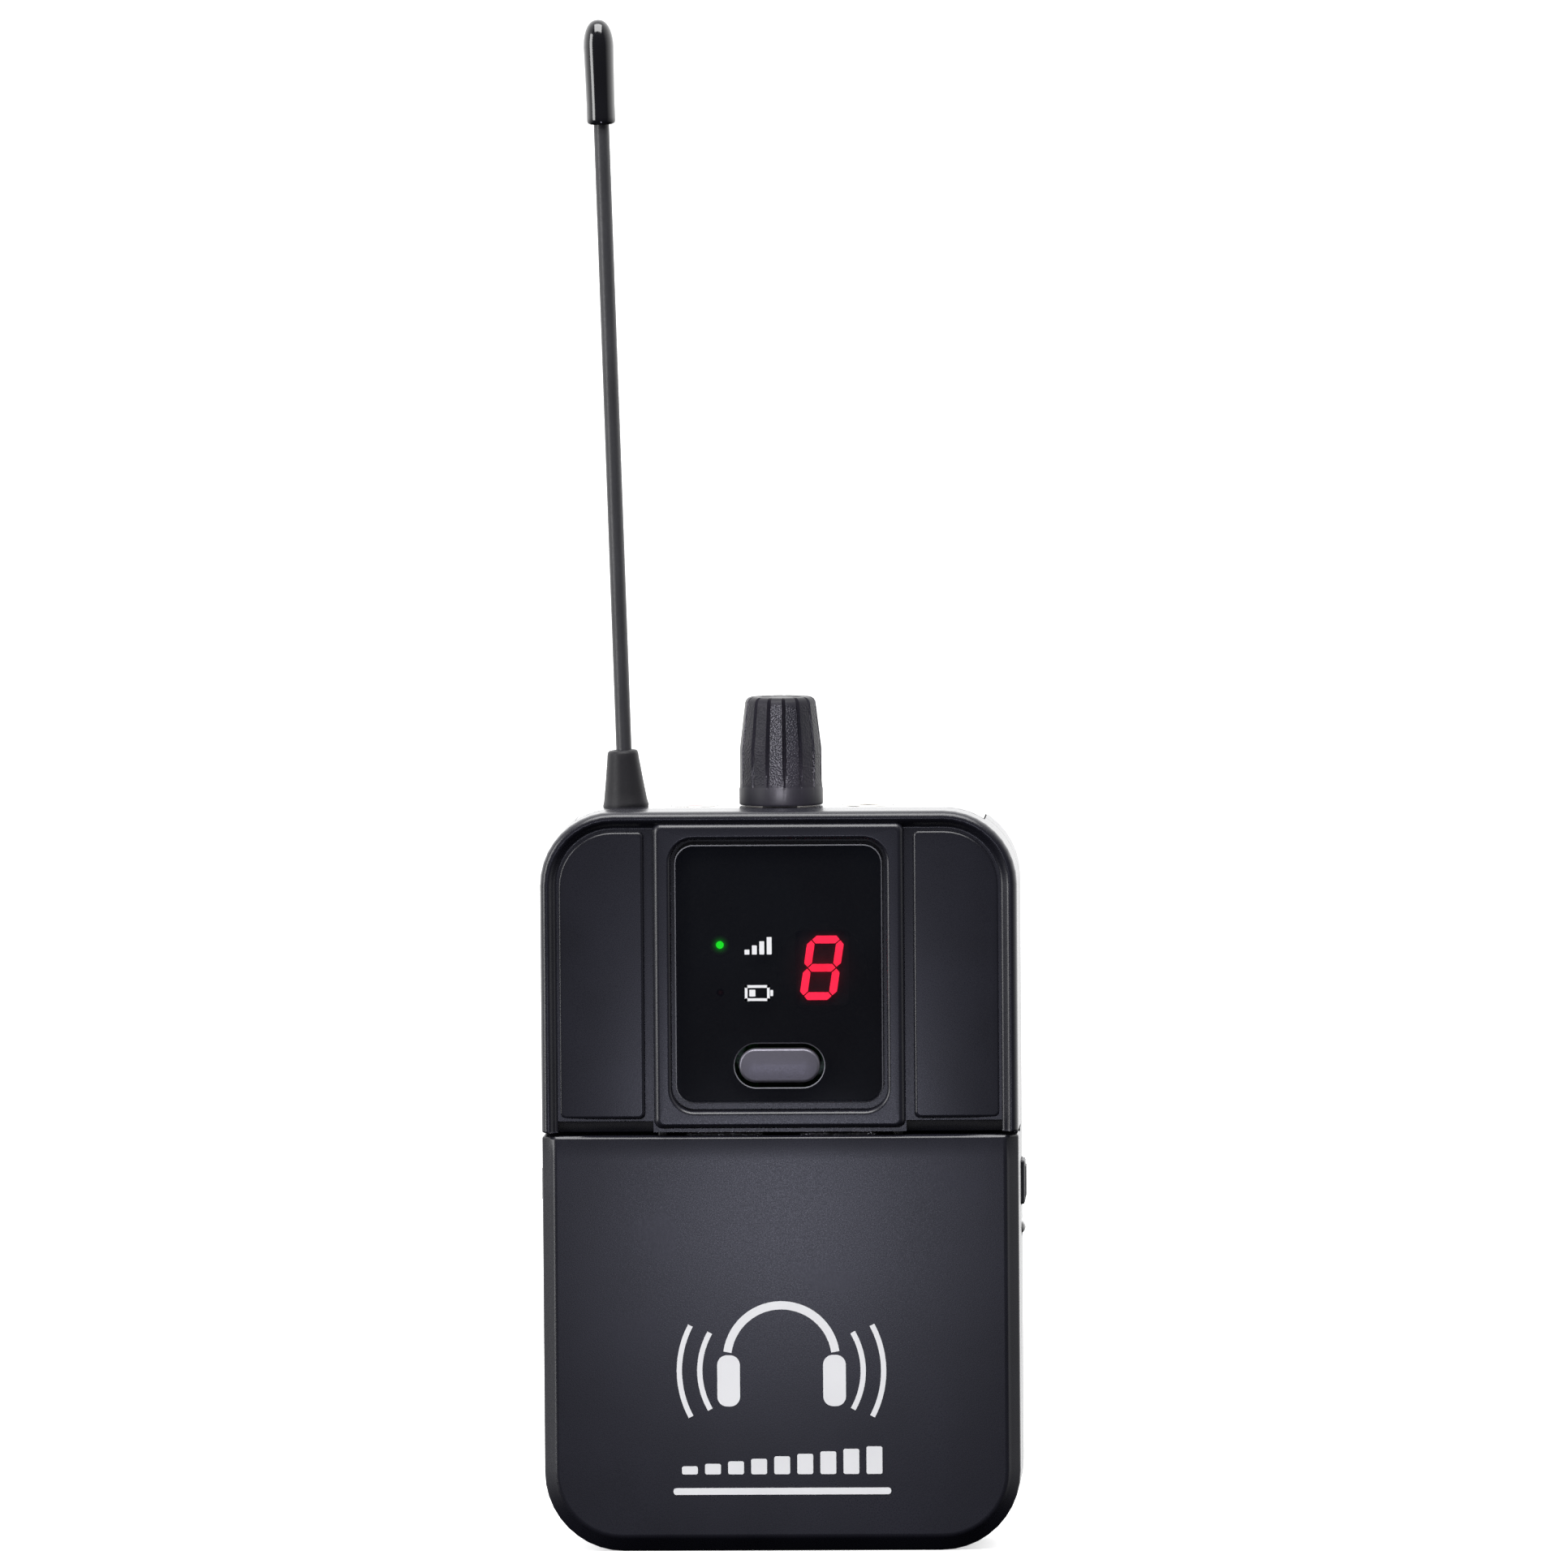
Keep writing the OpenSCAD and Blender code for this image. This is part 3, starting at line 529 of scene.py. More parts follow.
def carve(obj, cutters):
    """Cuts the cutters out of obj for good and removes them."""
    for tool in cutters:
        cut = obj.modifiers.new("cut", "BOOLEAN")
        cut.operation = "DIFFERENCE"
        cut.solver = "EXACT"
        cut.use_self = True
        cut.object = tool
        bpy.context.view_layer.update()
        graph = bpy.context.evaluated_depsgraph_get()
        made = bpy.data.meshes.new_from_object(obj.evaluated_get(graph))
        obj.modifiers.clear()
        obj.data = made
        bpy.data.objects.remove(tool, do_unlink=True)
    tidy(made)
    made.materials.clear()
    made.materials.append(M[obj["finish"]])


def bend(obj, axis, cuts, limit, rule):
    """Cuts a flat face along an axis and pushes its points in front of a depth back by rule(place)."""
    work = bmesh.new()
    work.from_mesh(obj.data)
    normal = Vector([float(i == axis) for i in range(3)])
    for place in cuts:
        geometry = work.verts[:] + work.edges[:] + work.faces[:]
        bmesh.ops.bisect_plane(work, geom=geometry, plane_co=normal * place * MM, plane_no=normal, dist=1e-7)
    for vert in work.verts:
        if vert.co.y < limit * MM:
            vert.co.y += rule(vert.co[axis] / MM) * MM
    work.to_mesh(obj.data)
    work.free()
    tidy(obj.data)


def mirrored(make):
    """Calls make with the side's sign and its name, for both sides."""
    for side, word in SIDES:
        make(side, word)


# ---- case ----


def body_loop(inset, low=0.0, side_z=()):
    """The pack's outline seen from the front, whole or from a height up."""
    foot = 0.25 if low else BOTTOM_R - inset
    top = TOP_R - inset
    return loop(-HALF_W + inset, HALF_W - inset, low or inset, HEIGHT - inset, (foot, top, top, foot), side_z)


def top_slot_cutter():
    """The slot in the top walls that the top panel fills."""
    clear = 0.12
    return box_cutter((TOP_LOW.x - clear, TOP_HIGH.x + clear), (TOP_LOW.y - clear, TOP_HIGH.y + clear),
                      (90, HEIGHT + 2))


def make_front_shell():
    """Rounded rim, recess floor and inner walls of the upper front shell, then its raised panels."""
    rim = [(0, -0.02), (0, -9.7), (0.04, -10.1), (0.16, -10.42), (0.36, -10.68), (0.62, -10.84), (0.9, -10.9),
           (1.15, -10.84), (1.4, -10.66), (1.62, -10.4), (1.8, -10.14), (2.0, -9.97), (2.3, RECESS_Y)]
    inside = [(WALL, -0.02), (WALL, -8.3)]
    rings = [at(body_loop(i, SHELL_Z + 1), y) for i, y in reversed(inside)]
    rings += [at(body_loop(i, SHELL_Z), y) for i, y in rim]
    shell = loft("front_shell_rim", rings, "front_shell_paint", "case")
    carve(shell, [loop_cutter(window_loop(-0.02), (-14, 2)), top_slot_cutter(),
                  undercut(-29.35, -16.7), undercut(16.7, 29.35),
                  box_cutter((-29.5, 29.5), (-8.25, 1), (50, 57.3))])
    even_normals(shell)
    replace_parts(shell, "front_shell")
    centre_panel()
    mirrored(side_panel)


def undercut(x0, x1):
    """Wedge to cut with: the recess floor rolls back towards the door below a side panel."""
    section = [(-13, 53), (-13, 57.13), (RECESS_Y - 0.03, 57.13), (-8.47, 55.17), (-8.47, 53)]
    rings = [[(x, y, z) for y, z in section] for x in (x0, x1)]
    return loft("cutter", rings, "inner_plastic", None)


def window_loop(inset):
    """The bezel recess round the window."""
    return loop(-14.25 + inset, 14.25 - inset, 58.4 + inset, 94.3 - inset, (3.0 - inset,) * 4)


def centre_panel():
    """Raised panel with a rounded outer edge and the window's recess, down to the window seat."""
    def outer(inset):
        return loop(-16.6 + inset, 16.6 - inset, 56.1 + inset * 0.8, 96.5 - inset, (1.1 - 0.5 * inset,) * 4)

    fillet, inner = 0.85, 0.55
    rings = [at(outer(0), -9.5), at(outer(0), -9.95)]
    rings += [at(outer(fillet * (1 - c)), FRONT_Y + fillet * (1 - s)) for s, c in quarter()]
    rings += [at(window_loop(-inner * (1 - s)), FRONT_Y + inner * (1 - c)) for s, c in quarter()]
    opening = loop(-12, 12, 61, 92, (1.5,) * 4)
    rings += [at(window_loop(0), SEAT_Y), at(opening, SEAT_Y), at(opening, -8.3)]
    even_normals(loft("centre_panel", rings, "front_shell_paint", "case", (False, False)))


def side_panel(side, word):
    """Slightly raised side panel with the pack's round shoulder at its outer top; it falls away outward."""
    x0, x1 = 17.75, 29.25
    front = RECESS_Y - 0.45

    def outline(inset):
        small = 0.8 - inset * 0.5
        points = loop(x0 + inset, x1 - inset, 57.3 + inset, 95.45 - inset, (small, 7.4 - inset, small, small))
        return points if side > 0 else [(-x, z) for x, z in reversed(points)]

    panel = slab("side_panel_" + word, outline, RECESS_Y + 0.1, front, 0.52, "front_shell_paint", "case")
    cuts = [side * (x0 + (x1 - x0) * k / 10) for k in range(1, 10)]
    bend(panel, 0, cuts, RECESS_Y - 0.05, lambda x: 0.4 * ((abs(x) - x0) / (x1 - x0)) ** 2)


def rear_front_edge(z):
    """Depth of the rear shell's front edge at a height: it clears the door's hinge in a round hollow."""
    if z > REAR_STEP_Z:
        return 0.05
    edge = -2.3 - SLOPE * max(0, SLOPE_Z - z)
    reach = HINGE_HOLLOW_R ** 2 - (z - HINGE_Z) ** 2
    return max(edge, HINGE_Y + math.sqrt(reach)) if reach > 0 else edge


def make_rear_shell():
    """Rear shell with its round back edges, holes and grooves, and what is moulded inside it."""
    fillet = 3.0
    edge = 0.12

    def outline(inset, y):
        return at(body_loop(inset, 0, (SLOPE_Z, REAR_STEP_Z - 0.005, REAR_STEP_Z + 0.005)), y)

    rings = [outline(WALL, BACK_Y - WALL), outline(WALL, rear_front_edge), outline(edge, rear_front_edge),
             outline(0, lambda z: rear_front_edge(z) + edge)]
    rings += [outline(fillet * (1 - c), BACK_Y - fillet * (1 - s)) for s, c in quarter(8)]
    shell = loft("rear_shell_body", rings, "rear_shell_paint", "case")
    cuts = [top_slot_cutter()]
    for side, _ in SIDES:
        cuts.append(box_cutter(across(side, 27, 34), (0.6, 7.0), around(LATCH_Z, 3.15)))
        hole = across(side, 28.6, 34)
        cuts.append(round_cutter((hole[0], 3, CLIP_Z), 1.12, hole[1] - hole[0], "X"))
        cuts.append(box_cutter(across(side, 29.9, 33), (3, 15), around(CLIP_Z, 1.15)))
        cuts += [round_cutter((side * BOSS_X, 9.4, z), 2.2, 4, "Y") for z in BOSS_Z]
    carve(shell, cuts)
    bevel = shell.modifiers.new("bevel", "BEVEL")
    bevel.width = 0.12 * MM
    bevel.segments = 2
    bevel.limit_method = "ANGLE"
    bevel.angle_limit = math.radians(50)
    even_normals(shell)
    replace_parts(shell, "rear_shell")
    make_rest_pad()
    mirrored(rear_inside)


def make_rest_pad():
    """Shallow raised pad on the back that the clip's tongue rests on."""
    rise = 0.25

    def outline(inset):
        points = loop(-11 + inset, 11 - inset, 22 + inset, 40 - inset, (3 - inset,) * 4)
        return [(-x, z) for x, z in points]

    rings = [at(outline(0), BACK_Y - 0.2)]
    rings += [at(outline(rise * (1 - c)), BACK_Y + rise * s) for s, c in quarter()]
    even_normals(loft("rest_pad", rings, "rear_shell_paint", "case"))


def rear_inside(side, word):
    """Hinge ears and the latch channel inside one side of the rear shell."""
    def moulded(name, x, y, z, bevel):
        block(name, x, y, z, "rear_shell_paint", "case", bevel)

    ear = [(1.05, 0), (1.2, 0.15), (1.2, EAR_W - 0.15), (1.05, EAR_W)]
    top = HINGE_Z + 1.2
    for k, x in enumerate(EAR_X):
        low = x if side > 0 else -x - EAR_W
        turned(f"hinge_ear_{word}_{k}", ear, "rear_shell_paint", "case", (low, HINGE_Y, HINGE_Z), 0, "X", 40)
        moulded(f"ear_arm_{word}_{k}", (low, low + EAR_W), (HINGE_Y + 0.4, -4.5), (HINGE_Z + 0.2, top), 0.15)
    moulded("ear_foot_" + word, across(side, EAR_X[0], EAR_X[1] + EAR_W), (-6, -4.5), (1.0, top), 0.2)
    guide = across(side, 18, 28.2)
    for tag, z in (("low", (LATCH_Z - 3.3, LATCH_Z - 2.3)), ("high", (LATCH_Z + 2.3, LATCH_Z + 3.3))):
        moulded(f"latch_guide_{tag}_{word}", guide, (1.5, 9.3), z, 0.2)
    moulded("latch_guide_back_" + word, guide, (6.1, 9.3), around(LATCH_Z, 2.4), 0.1)


def make_top_panel():
    """Top insert: a strip that follows the pack's outline over its shoulders, with holes for the fittings."""
    edge, depth = 0.15, 1.7
    corner_x, corner_z = HALF_W - TOP_R, HEIGHT - TOP_R
    first = math.degrees(math.acos((TOP_HIGH.x - corner_x) / TOP_R))
    right = [on_circle(corner_x, corner_z, TOP_R, first + (90 - first) * i / 8) for i in range(8)]
    path = right + [(x, HEIGHT) for x in (21.8, 10, 0, -10, -21.8)] + [(-x, z) for x, z in reversed(right)]
    section = [(TOP_LOW.y + edge, 0), (TOP_LOW.y + edge * 0.3, -edge * 0.3), (TOP_LOW.y, -edge),
               (TOP_LOW.y, -depth), (TOP_HIGH.y, -depth), (TOP_HIGH.y, -edge),
               (TOP_HIGH.y - edge * 0.3, -edge * 0.3), (TOP_HIGH.y - edge, 0)]
    rings = []
    for x, z in path:
        out = (Vector((x, z)) - Vector((max(-corner_x, min(corner_x, x)), corner_z))).normalized()
        rings.append([(x + out.x * drop, y, z + out.y * drop) for y, drop in section])
    panel = loft("top_insert", rings, "top_plastic", "case")
    through, sunk = 94, 97.7
    holes = ((ANTENNA_X, through, 1.8), (INDICATOR_X, through, 2.3), (0, through, 3.6),
             (JACK_X, through, 2.7), (INDICATOR_X, sunk, 3.08), (JACK_X, sunk, 3.38))
    carve(panel, [round_cutter((x, TOP_Y, z), r, 6, "Z") for x, z, r in holes])
    even_normals(panel)
    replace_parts(panel, "top_panel")


def make_screws():
    """Black case screws with a cross recess, in the counterbores at the back."""
    profile = [(0.95, -14), (1.0, -13.8), (1.0, 0), (1.9, 0), (2.0, 0.15), (1.95, 0.7), (1.7, 1.1),
               (1.1, 1.3), (0, 1.35)]
    recess = (10.85 - 0.7, 12)
    wide, long = 0.22, 1.1
    first = None
    for side, word in SIDES:
        x = side * BOSS_X
        for z in BOSS_Z:
            screw = turned(f"case_screw_{word}_{z}", profile, "screw_black", "case", (x, 9.45, z), 0, "Y", 40,
                           (True, False))
            carve(screw, [box_cutter(around(x, long), recess, around(z, wide)),
                          box_cutter(around(x, wide), recess, around(z, long))])
            first = first or screw
    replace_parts(first, "case_screws")


# ---- battery door ----


def door_loop(side, bottom, top):
    """The door's outline, inset by different amounts at its sides, bottom and top."""
    foot = BOTTOM_R - (side + bottom) / 2
    return loop(-HALF_W + side, HALF_W - side, bottom, DOOR_TOP - top, (foot, 0.3, 0.3, foot), (SLOPE_Z,))


def door_back_edge(z):
    """Depth of the door's back edge at a height."""
    return -2.6 - SLOPE * max(0, SLOPE_Z - z)


def make_door():
    """Battery door: chamfered tray with a faintly sloping top band, hinge lugs and latch strikes."""
    rings = [at(door_loop(1.5, 1.5, 1.2), -9.5), at(door_loop(1.5, 1.5, 0.9), door_back_edge),
             at(door_loop(0.1, 0.1, 0.1), door_back_edge),
             at(door_loop(0, 0, 0), lambda z: door_back_edge(z) - 0.12)]
    chamfer = [(0, 0, 0, -9.1), (0.05, 0.1, 0.0, -9.35), (0.16, 0.3, 0.0, -9.55), (1.125, 1.385, 0.02, -10.5),
               (1.45, 1.75, 0.12, -10.82), (1.62, 1.98, 0.22, -10.93), (1.85, 2.2, 0.36, -10.99),
               (2.05, 2.4, 0.5, -11.0)]
    rings += [at(door_loop(side, bottom, top), y) for side, bottom, top, y in chamfer]
    door = loft("door_plate", rings, "door_paint", "door")
    cuts = []
    for side, _ in SIDES:
        notch = across(side, 16.7, 22.9)
        cuts.append(box_cutter(notch, (HINGE_Y, 0), (-1, HINGE_Z + 1.6)))
        cuts.append(round_cutter((notch[0], HINGE_Y, HINGE_Z), 1.45, 6.2, "X"))
    carve(door, cuts)
    band_z, reach = 51.8, 29.5
    bend(door, 2, [band_z], -9.6, lambda z: max(0.0, z - band_z) * 0.085)
    bend(door, 0, [reach * k / 10 for k in range(-9, 10)], -10.5, lambda x: 0.3 * (x / reach) ** 2)
    even_normals(door)
    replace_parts(door, "battery_door")
    mirrored(door_fittings)


def door_fittings(side, word):
    """Hinge lug, latch strike and ribs on one side of the door."""
    lug = [(0.65, 0), (1.4, 0), (1.5, 0.12), (1.5, 2.08), (1.4, 2.2), (0.65, 2.2), (0.65, 0)]
    start = (18.7 if side > 0 else -20.9, HINGE_Y, HINGE_Z)
    turned("door_lug_" + word, lug, "door_paint", "door", start, 0, "X", 40, (False, False))
    block("door_strike_" + word, across(side, 28.8, 30.2), (-4.4, -3.2), (46, 50), "door_paint", "door", 0.2)
    for k, z in enumerate((12, 24, 36)):
        block(f"door_rib_{word}_{k}", across(side, 16.9, 29.8), (-9.6, -9.15), (z, z + 0.8), "door_paint",
              "door", 0.15)


def make_print():
    """White print on the door: a headphone glyph with radio arcs, a row of level bars and a rule."""
    y = -11.02
    centre_z = 26.5

    def stroke(name, points, width):
        """Flat white line through points in X and Z."""
        left, right = [], []
        for i, (x, z) in enumerate(points):
            before, after = Vector(points[max(i - 1, 0)]), Vector(points[min(i + 1, len(points) - 1)])
            along = (after - before).normalized()
            aside = Vector((-along.y, along.x)) * width / 2
            left.append((x + aside.x, z + aside.y))
            right.append((x - aside.x, z - aside.y))
        n = len(points)
        faces = [(i, i + 1, n + i + 1, n + i) for i in range(n - 1)]
        shape(name, at(left + right, y), faces, "print_white", "door")

    def arc(cx, cz, r, start, end):
        steps = 28
        return [on_circle(cx, cz, r, start + (end - start) * i / steps) for i in range(steps + 1)]

    stroke("print_band", arc(0, centre_z - 1, 7.2, 8, 172), 1.1)
    for side, word in SIDES:
        cup = loop(*around(side * 7, 1.5), centre_z - 7.2, centre_z - 0.4, (1.3,) * 4)
        flat("print_cup_" + word, cup, y, "print_white", "door")
        ahead = 0 if side > 0 else 180
        for k, r in enumerate((10.2, 12.9)):
            wave = arc(side * 0.6, centre_z - 2.5, r, *around(ahead, 30 - 2 * k))
            stroke(f"print_wave_{word}_{k}", wave, 0.7)
    for k in range(9):
        bar = loop(*around(-12.2 + k * 3.05, 1.05), 10.3, 10.3 + 1.1 + 0.32 * k, (0.25,) * 4, steps=4)
        flat(f"print_bar_{k}", bar, y, "print_white", "door")
    flat("print_rule", loop(-14.4, 14.4, 7.6, 8.5, (0.4,) * 4, steps=4), y, "print_white", "door")


# ---- window, button and display ----


def pill(half_w, half_h, z):
    """Loop of a pill shape standing in X and Z."""
    return loop(-half_w, half_w, z - half_h, z + half_h, (half_h,) * 4, steps=12)


def make_window():
    """Smoked window with a ground edge, coloured paler grey partly for its frosting and partly as a painted
    highlight line, and a pill-shaped hole for the button.
    """
    half_w = (GLASS_HIGH.x - GLASS_LOW.x) / 2
    front, back = GLASS_LOW.y, GLASS_HIGH.y
    edge = 0.14

    def outer(inset):
        return loop(-half_w + inset, half_w - inset, GLASS_LOW.z + inset, GLASS_HIGH.z - inset,
                    (2.5 - inset,) * 4, steps=12)

    def inner(grow):
        return pill(BUTTON_HOLE[0] + grow, BUTTON_HOLE[1] + grow, BUTTON_Z)

    rings = [at(inner(0), back), at(outer(0), back), at(outer(0), front + edge), at(outer(edge), front),
             at(inner(edge), front), at(inner(0), front + edge), at(inner(0), back)]
    window = loft("window_pane", rings, "window_glass", "case", (False, False))
    # The bevels get the paler glass_edge finish: partly frosted ground glass, partly a painted highlight line
    # round the window and the button hole.
    window.data.materials.append(M["glass_edge"])
    around_edge = len(rings[0])
    for face in window.data.polygons:
        face.material_index = 1 if face.index // around_edge in (2, 4) else 0
    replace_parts(window, "display_window")
    faces = [at(outer(0.3), back + gap) for gap in (0.03, 0.12)]
    mask = loft("window_mask", faces, "gasket_rubber", "case")
    through = (-12, -8)
    cuts = [loop_cutter(inner(0), through), loop_cutter(loop(2.2, 9.2, 72.3, 82.1, (0.4,) * 4), through)]
    cuts += [round_cutter((LAMP_X, through[0], z), 0.5, 4, "Y") for z in LAMP_Z]
    carve(mask, cuts)
    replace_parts(mask, "window_gasket")


def make_button():
    """Select button with a crowned, grained cap."""
    top, fillet = BUTTON_LOW.y, 0.4
    shoulder = top + 0.15

    def ring(inset, y):
        return at(pill(5.35 - inset, 2.25 - inset, BUTTON_Z), y)

    rings = [ring(0, BUTTON_HIGH.y - 1.9), ring(0, shoulder + fillet)]
    rings += [ring(fillet * (1 - c), shoulder + fillet * (1 - s)) for s, c in quarter()]
    rings += [ring(0.9, top + 0.09), ring(1.5, top + 0.03), ring(2.1, top)]
    cap = even_normals(loft("button_cap", rings, "button_plastic", "button"))
    turned("button_stem", [(1.4, 0), (1.4, 2.3), (1.2, 2.5)], "button_plastic", "button",
           (0, BUTTON_HIGH.y - 2.5, BUTTON_Z), 0, "Y", 32)
    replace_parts(cap, "select_button")


def make_digit():
    """Seven lit bars with mitred ends, slanted, and the glow round the digit and the lit lamp."""
    centre_x, _, centre_z = middle("digit_housing")
    slant = 0.15
    half_w, half_h = 1.92, 3.74
    width, gap = 1.0, 0.13
    grid = [(x, z) for z in (half_h, 0, -half_h) for x in (-half_w, half_w)]
    first = None
    for k, (a, b) in enumerate(((0, 1), (2, 3), (4, 5), (0, 2), (1, 3), (2, 4), (3, 5))):
        start, end = Vector(grid[a]), Vector(grid[b])
        along = (end - start).normalized()
        aside = Vector((-along.y, along.x)) * width / 2
        start, end = start + along * gap, end - along * gap
        mitre = along * (width / 2)
        ring = [start, start + mitre + aside, end - mitre + aside, end, end - mitre - aside,
                start + mitre - aside]
        ring = [(centre_x + p.x + p.y * slant, centre_z + p.y) for p in ring]
        bar = loft(f"digit_bar_{k}", [at(ring, y) for y in (-8.85, -9.17)], "led_red", "case")
        first = first or bar
    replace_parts(first, "digit_segments")
    M["halo_red"] = halo("halo_red", (1.0, 0.03, 0.06), (centre_x, -9.2, centre_z), 6.2, 0.5, 0.3)
    M["halo_green"] = halo("halo_green", (0.02, 0.8, 0.03), (LAMP_X, -9.2, LAMP_Z[0]), 1.45, 2.6, 0.7)
    for color, x, z, r in (("red", centre_x, centre_z, 6.0), ("green", LAMP_X, LAMP_Z[0], 1.5)):
        disc = loop(*around(x, r), *around(z, r), (r,) * 4)
        glow = flat("glow_" + color, disc, GLASS_HIGH.y + 0.012, "halo_" + color, None)
        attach(glow, "case")


def make_lamps():
    """Two small round lamps behind the window: green lit, red unlit."""
    profile = [(0, 0), (0.25, 0.02), (0.4, 0.1), (0.46, 0.3), (1.1, 0.5), (1.1, 3.7), (1.4, 3.8), (1.4, 5.3)]
    lamps = (("rf_lamp", "led_green", "rf_led"), ("battery_lamp", "led_dark", "low_battery_led"))
    for z, (name, material, node) in zip(LAMP_Z, lamps):
        lamp = turned(name, profile, material, "case", (LAMP_X, -9.15, z), 0, "Y", 40, (False, True))
        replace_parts(lamp, node)


def make_symbols():
    """White symbols printed on the window: signal bars and an outlined cell."""
    def patch(name, x0, x1, z0, z1):
        flat(name, loop(x0, x1, z0, z1, (0.08,) * 4, steps=3), GLASS_LOW.y - 0.015, "print_white", "case")

    for k in range(4):
        patch(f"signal_bar_{k}", -4.5 + k * 0.98, -3.85 + k * 0.98, 79.1, 79.75 + 0.55 * k)
    low, high, line = 72.95, 75.05, 0.36
    patch("cell_symbol_low", -4.5, -1.2, low, low + line)
    patch("cell_symbol_high", -4.5, -1.2, high - line, high)
    patch("cell_symbol_left", -4.5, -4.14, low, high)
    patch("cell_symbol_right", -1.56, -1.2, low, high)
    patch("cell_symbol_nub", -1.12, -0.75, 73.6, 74.4)
    patch("cell_symbol_level", -3.9, -3.1, 73.55, 74.45)


# ---- knob, antenna and top fittings ----


def make_knob():
    """Volume knob: ribs that taper to the top, parted by grooves that run out above a smooth foot."""
    ribs, per_rib = 15, 16
    height = KNOB_HIGH.z - KNOB_LOW.z
    base_r, rib_r, top_r = KNOB_HIGH.x, KNOB_HIGH.x - 0.06, 4.65
    foot, waist, edge = 2.2, 7.4, 0.8
    rows = [0, 0.12, 0.3, foot - 0.1, foot + 0.15]
    rows += [foot + 0.3 + (height - foot - 1.2) * i / 18 for i in range(19)]
    rows += [height - drop for drop in (edge, 0.55, 0.3, 0.12, 0.02)]
    rings = []
    for h in rows:
        above = max(0.0, h - foot)
        rib = base_r if h < foot else rib_r - (rib_r - top_r) * max(0.0, h - waist) / (height - waist)
        groove = base_r - 0.05 - (base_r - top_r + 0.45) * above / (height - foot)
        opening = min(1.0, above / 3.0) * 0.2 + 0.06
        flatness = 0.75 * min(1.0, above)
        inset = {0: 0.15, 0.12: 0.04}.get(h, 0)
        over = h - (height - edge)
        if over > 0:
            inset = edge - math.sqrt(max(0.0, edge ** 2 - over ** 2))
        ring = []
        for i in range(ribs * per_rib):
            phase = (i / per_rib) % 1.0
            from_middle = abs(phase - 0.5) * 2
            depth = max(0.0, min(1.0, (from_middle - (1 - opening)) / (opening * 0.75)))
            depth = depth * depth * (3 - 2 * depth)
            chord = math.cos(math.pi / ribs) / math.cos(math.pi / ribs * (2 * phase - 1))
            face_r = rib * (1 - flatness + flatness * chord)
            sunk_r = min(groove, rib) - 0.25
            r = rib if h <= foot else face_r + (sunk_r - face_r) * depth * min(1.0, above / 0.5)
            a = 2 * math.pi * (i / (ribs * per_rib)) + math.radians(7 - 90)
            ring.append(((r - inset) * math.cos(a), TOP_Y + (r - inset) * math.sin(a), KNOB_LOW.z + h))
        rings.append(ring)
    for shrink, drop in ((0.72, 0.02), (0.66, 0.12), (0.3, 0.14)):
        z = KNOB_HIGH.z - drop
        rings.append([(x * shrink, TOP_Y + (y - TOP_Y) * shrink, z) for x, y, _ in rings[-1]])
    knob = loft("knob_grip", rings, "knob_rubber", "knob", sharp=40)
    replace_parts(knob, "volume_knob", "pot_shaft")


def make_antenna():
    """Rubber boot, whip and glossy tip cap of the antenna."""
    base = (ANTENNA_X, TOP_Y, HEIGHT)
    sleeve = [(2.95, -0.2), (3.02, 0.1), (2.98, 0.45), (2.9, 0.7), (2.72, 1.9), (2.52, 3.3), (2.34, 4.7),
              (2.14, 6.2), (2.06, 6.95), (1.98, 7.25), (1.8, 7.42), (1.45, 7.5), (1.2, 7.44), (1.05, 7.2)]
    boot = turned("boot_sleeve", sleeve, "boot_rubber", "case", base, BOOT_LEAN, segments=56)
    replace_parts(boot, "antenna_boot")
    rod = [(1.04, 1 + (ANTENNA_LEN - 5) * i / 24) for i in range(25)]
    whip = turned("whip_rod", rod, "whip_rubber", "case", base, WHIP_LEAN, segments=32)
    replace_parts(whip, "antenna_whip")
    length, straight, r = 13.9, 10.3, 2.05
    cap = [(1.06, 0.05), (1.5, 0.0), (1.82, 0.16), (1.93, 0.45), (1.95, 0.9), (1.93, 2.5), (1.95, 5),
           (2.0, 8), (r, straight)]
    cap += [(r * c ** 0.85, straight + (length - straight) * s) for s, c in quarter(10)]
    lean = Matrix.Rotation(math.radians(-WHIP_LEAN), 3, "Y")
    foot = Vector(base) + lean @ Vector((0, 0, ANTENNA_LEN - length))
    tip = turned("tip_cap", cap, "tip_plastic", "case", foot, WHIP_LEAN, segments=56, caps=(True, False))
    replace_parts(tip, "antenna_tip")


